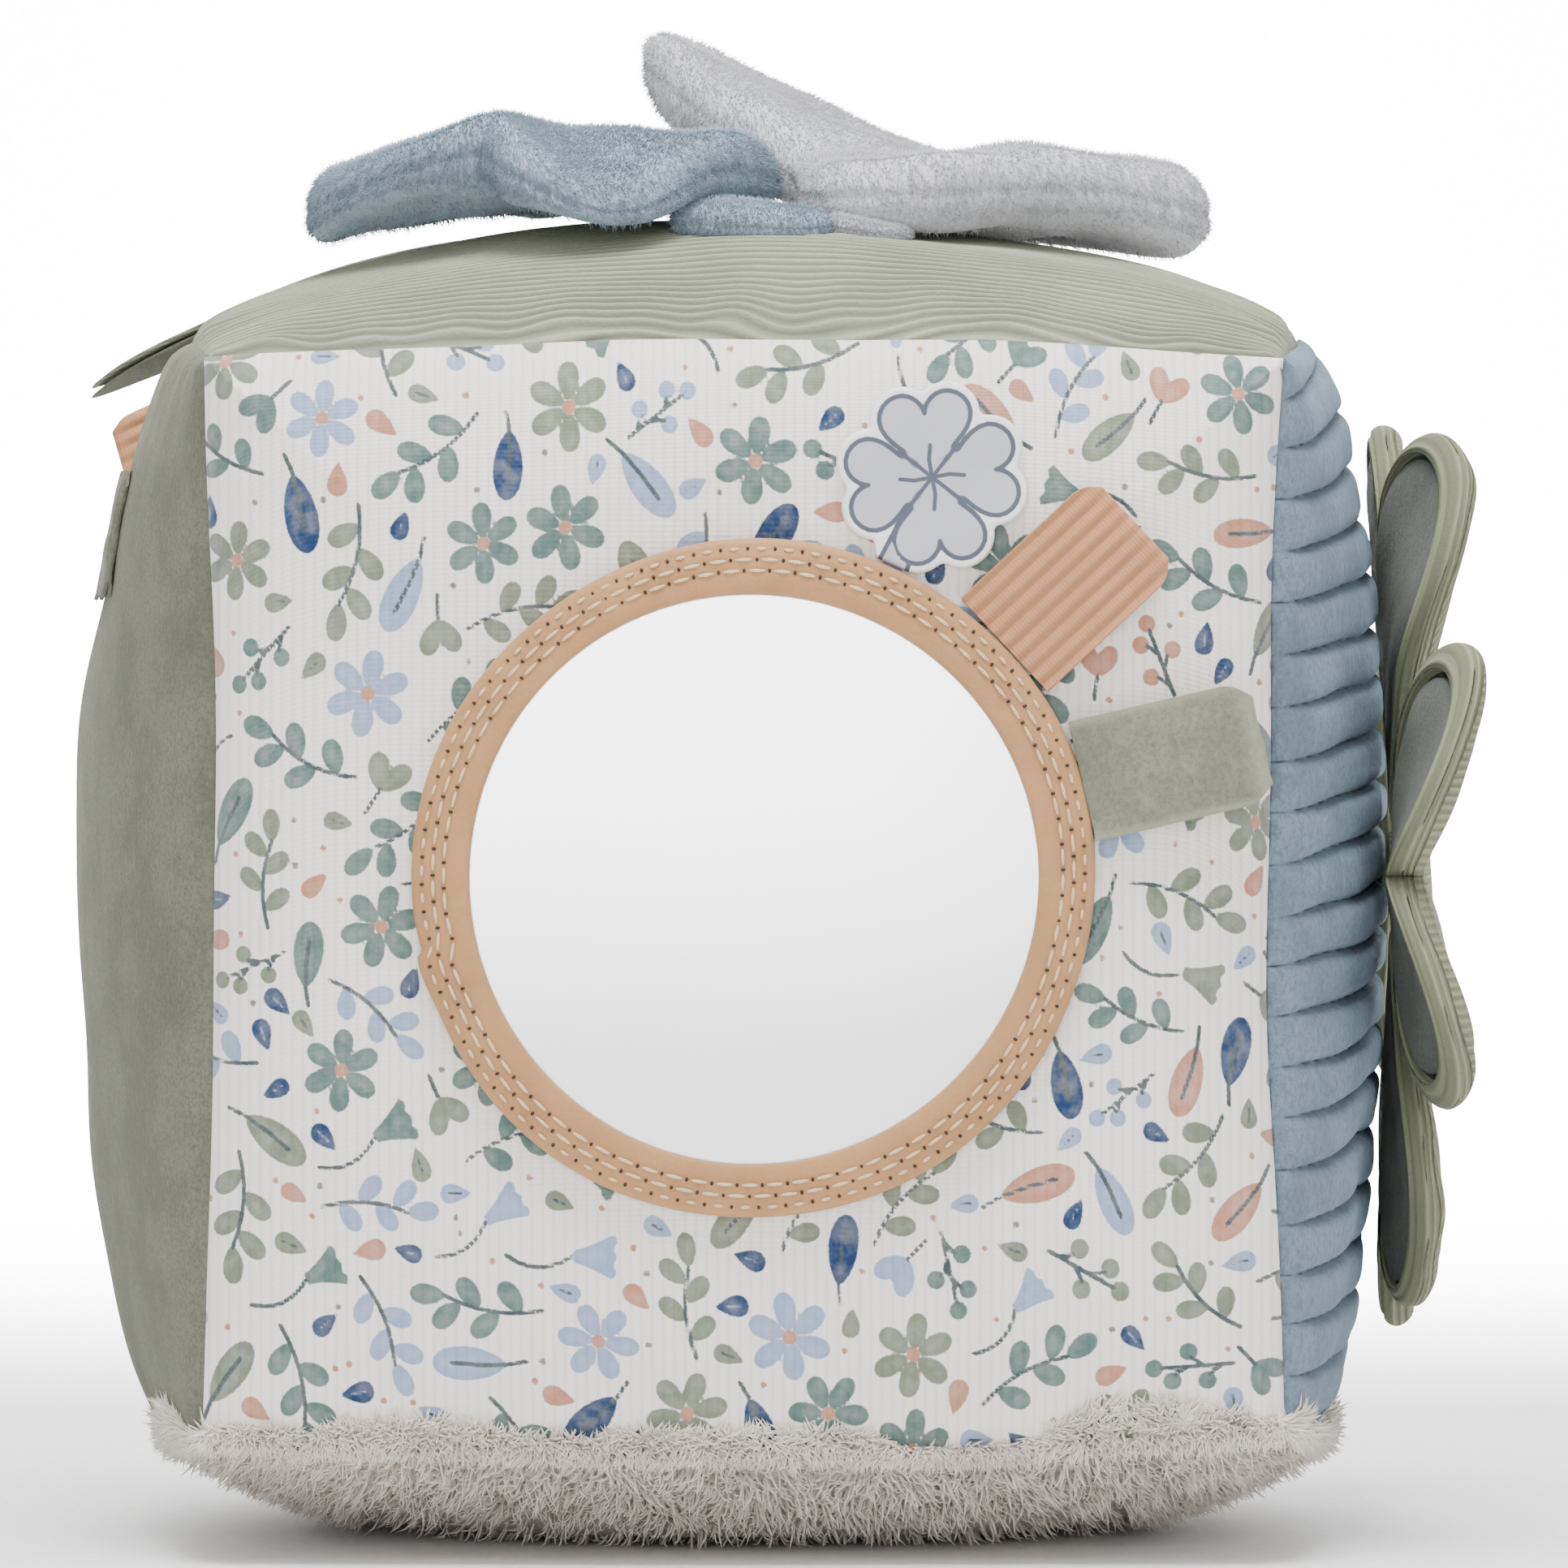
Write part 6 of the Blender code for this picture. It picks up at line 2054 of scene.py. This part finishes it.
@dataclass
class Studio:
    """The pale floor with its sweep, soft lights and the photograph's camera."""

    eye: tuple = (5.7 * MM, -1475 * MM, 108 * MM)
    lens: float = 232.0

    def build(self) -> None:
        """Adds the stage, the lights and the camera."""
        self.floor()
        self.light("key", (-0.2, -2.6, 0.5), (0, 0, 0.1), 1.35, 32)
        self.light("near", (-0.1, -0.75, 0.78), (0, 0, 0.12), 0.5, 2.0)
        self.light("top", (0.0, -0.25, 0.9), (0, 0, 0.15), 0.5, 15)
        self.light("right", (1.5, -0.7, 0.8), (0, 0, 0.1), 1.2, 4)
        self.light("backdrop", (0, 1.0, 1.0), (0, 2.1, 0.2), 1.0, 260)
        world = bpy.data.worlds.new("studio")
        bpy.context.scene.world = world
        world.use_nodes = True
        back = world.node_tree.nodes["Background"]
        back.inputs["Color"].default_value = (1, 1, 1, 1)
        back.inputs["Strength"].default_value = 0.42
        camera = bpy.data.cameras.new("photograph")
        camera.lens = self.lens
        camera.sensor_width = 36
        camera.clip_start = 0.01
        seen = bpy.data.objects.new("photograph", camera)
        bpy.context.scene.collection.objects.link(seen)
        seen.location = self.eye
        seen.rotation_euler = (math.pi / 2, 0, 0)
        bpy.context.scene.camera = seen

    @staticmethod
    def light(name: str, at: Sequence[float], towards: Sequence[float], size: float, power: float) -> None:
        """Adds a square area light that looks at a point."""
        data = bpy.data.lights.new(name, "AREA")
        data.energy = power
        data.size = size
        lamp = bpy.data.objects.new(name, data)
        bpy.context.scene.collection.objects.link(lamp)
        lamp.location = at
        way = unit(np.array(towards, float) - np.array(at, float))
        lamp.rotation_euler = (math.acos(-way[2]), 0, math.atan2(way[1], way[0]) - math.pi / 2)

    @staticmethod
    def floor() -> None:
        """A floor that sweeps up behind: z = 0, then a quarter circle, then a wall."""
        bend = np.linspace(0, np.pi / 2, 24)
        y = np.concatenate([[-3.0, 0.6], 1.2 + 1.0 * np.sin(bend), [2.2]])
        z = np.concatenate([[0, 0], 1.0 - 1.0 * np.cos(bend), [4.0]])
        x = np.array([-4.0, 0.0, 4.0])
        grid = vectors(x[None], y[:, None], z[:, None])
        piece = sheet_piece("floor_sweep", grid, np.array([0, -0.5, 1.0]), FLOOR)


def main() -> None:
    """Builds every sub-assembly in order and reports it."""
    logging.basicConfig(level=logging.INFO, format="%(message)s")
    form = BlockForm()
    InnerPieces().build()
    front = PrintedPanel(form, Side.FRONT, JERSEY, "printed_jersey", 292, 292, pucker=0.3 * MM,
                         relief=0.25 * MM, seed=2, hemmed=True, motif_seed=8)
    back = PrintedPanel(form, Side.BACK, JERSEY, "printed_jersey", 246, 246, seed=3, hemmed=True,
                        motif_seed=19, quiet=True)
    left = Panel(form, Side.LEFT, SAGE_VELOUR, "sage_velour", 150, 150, seed=5)
    top = CordPanel(form, Side.TOP, SAGE_CORD, "sage_cord", 120, 600, pucker=0.6 * MM, seed=7, hemmed=True)
    right = RibbedPanel(form, Side.RIGHT, BLUE_CORD, "blue_cord", 84, 21 * 18 + 1, seed=9)
    covers = {panel.side: panel for panel in (front, back, left, top, right)}
    for panel in covers.values():
        panel.build()
    PlushBottom(form, Side.BOTTOM, CREAM_BACKING, "cream_plush", 90, 90, seed=11, covers=covers).build()
    Mirror().build()
    FaceTrims().build()
    SideTrims(form, left).build()
    TopPlush(form).build()
    CloverFlap(form).build()
    Studio().build()


if __name__ == "__main__":
    main()
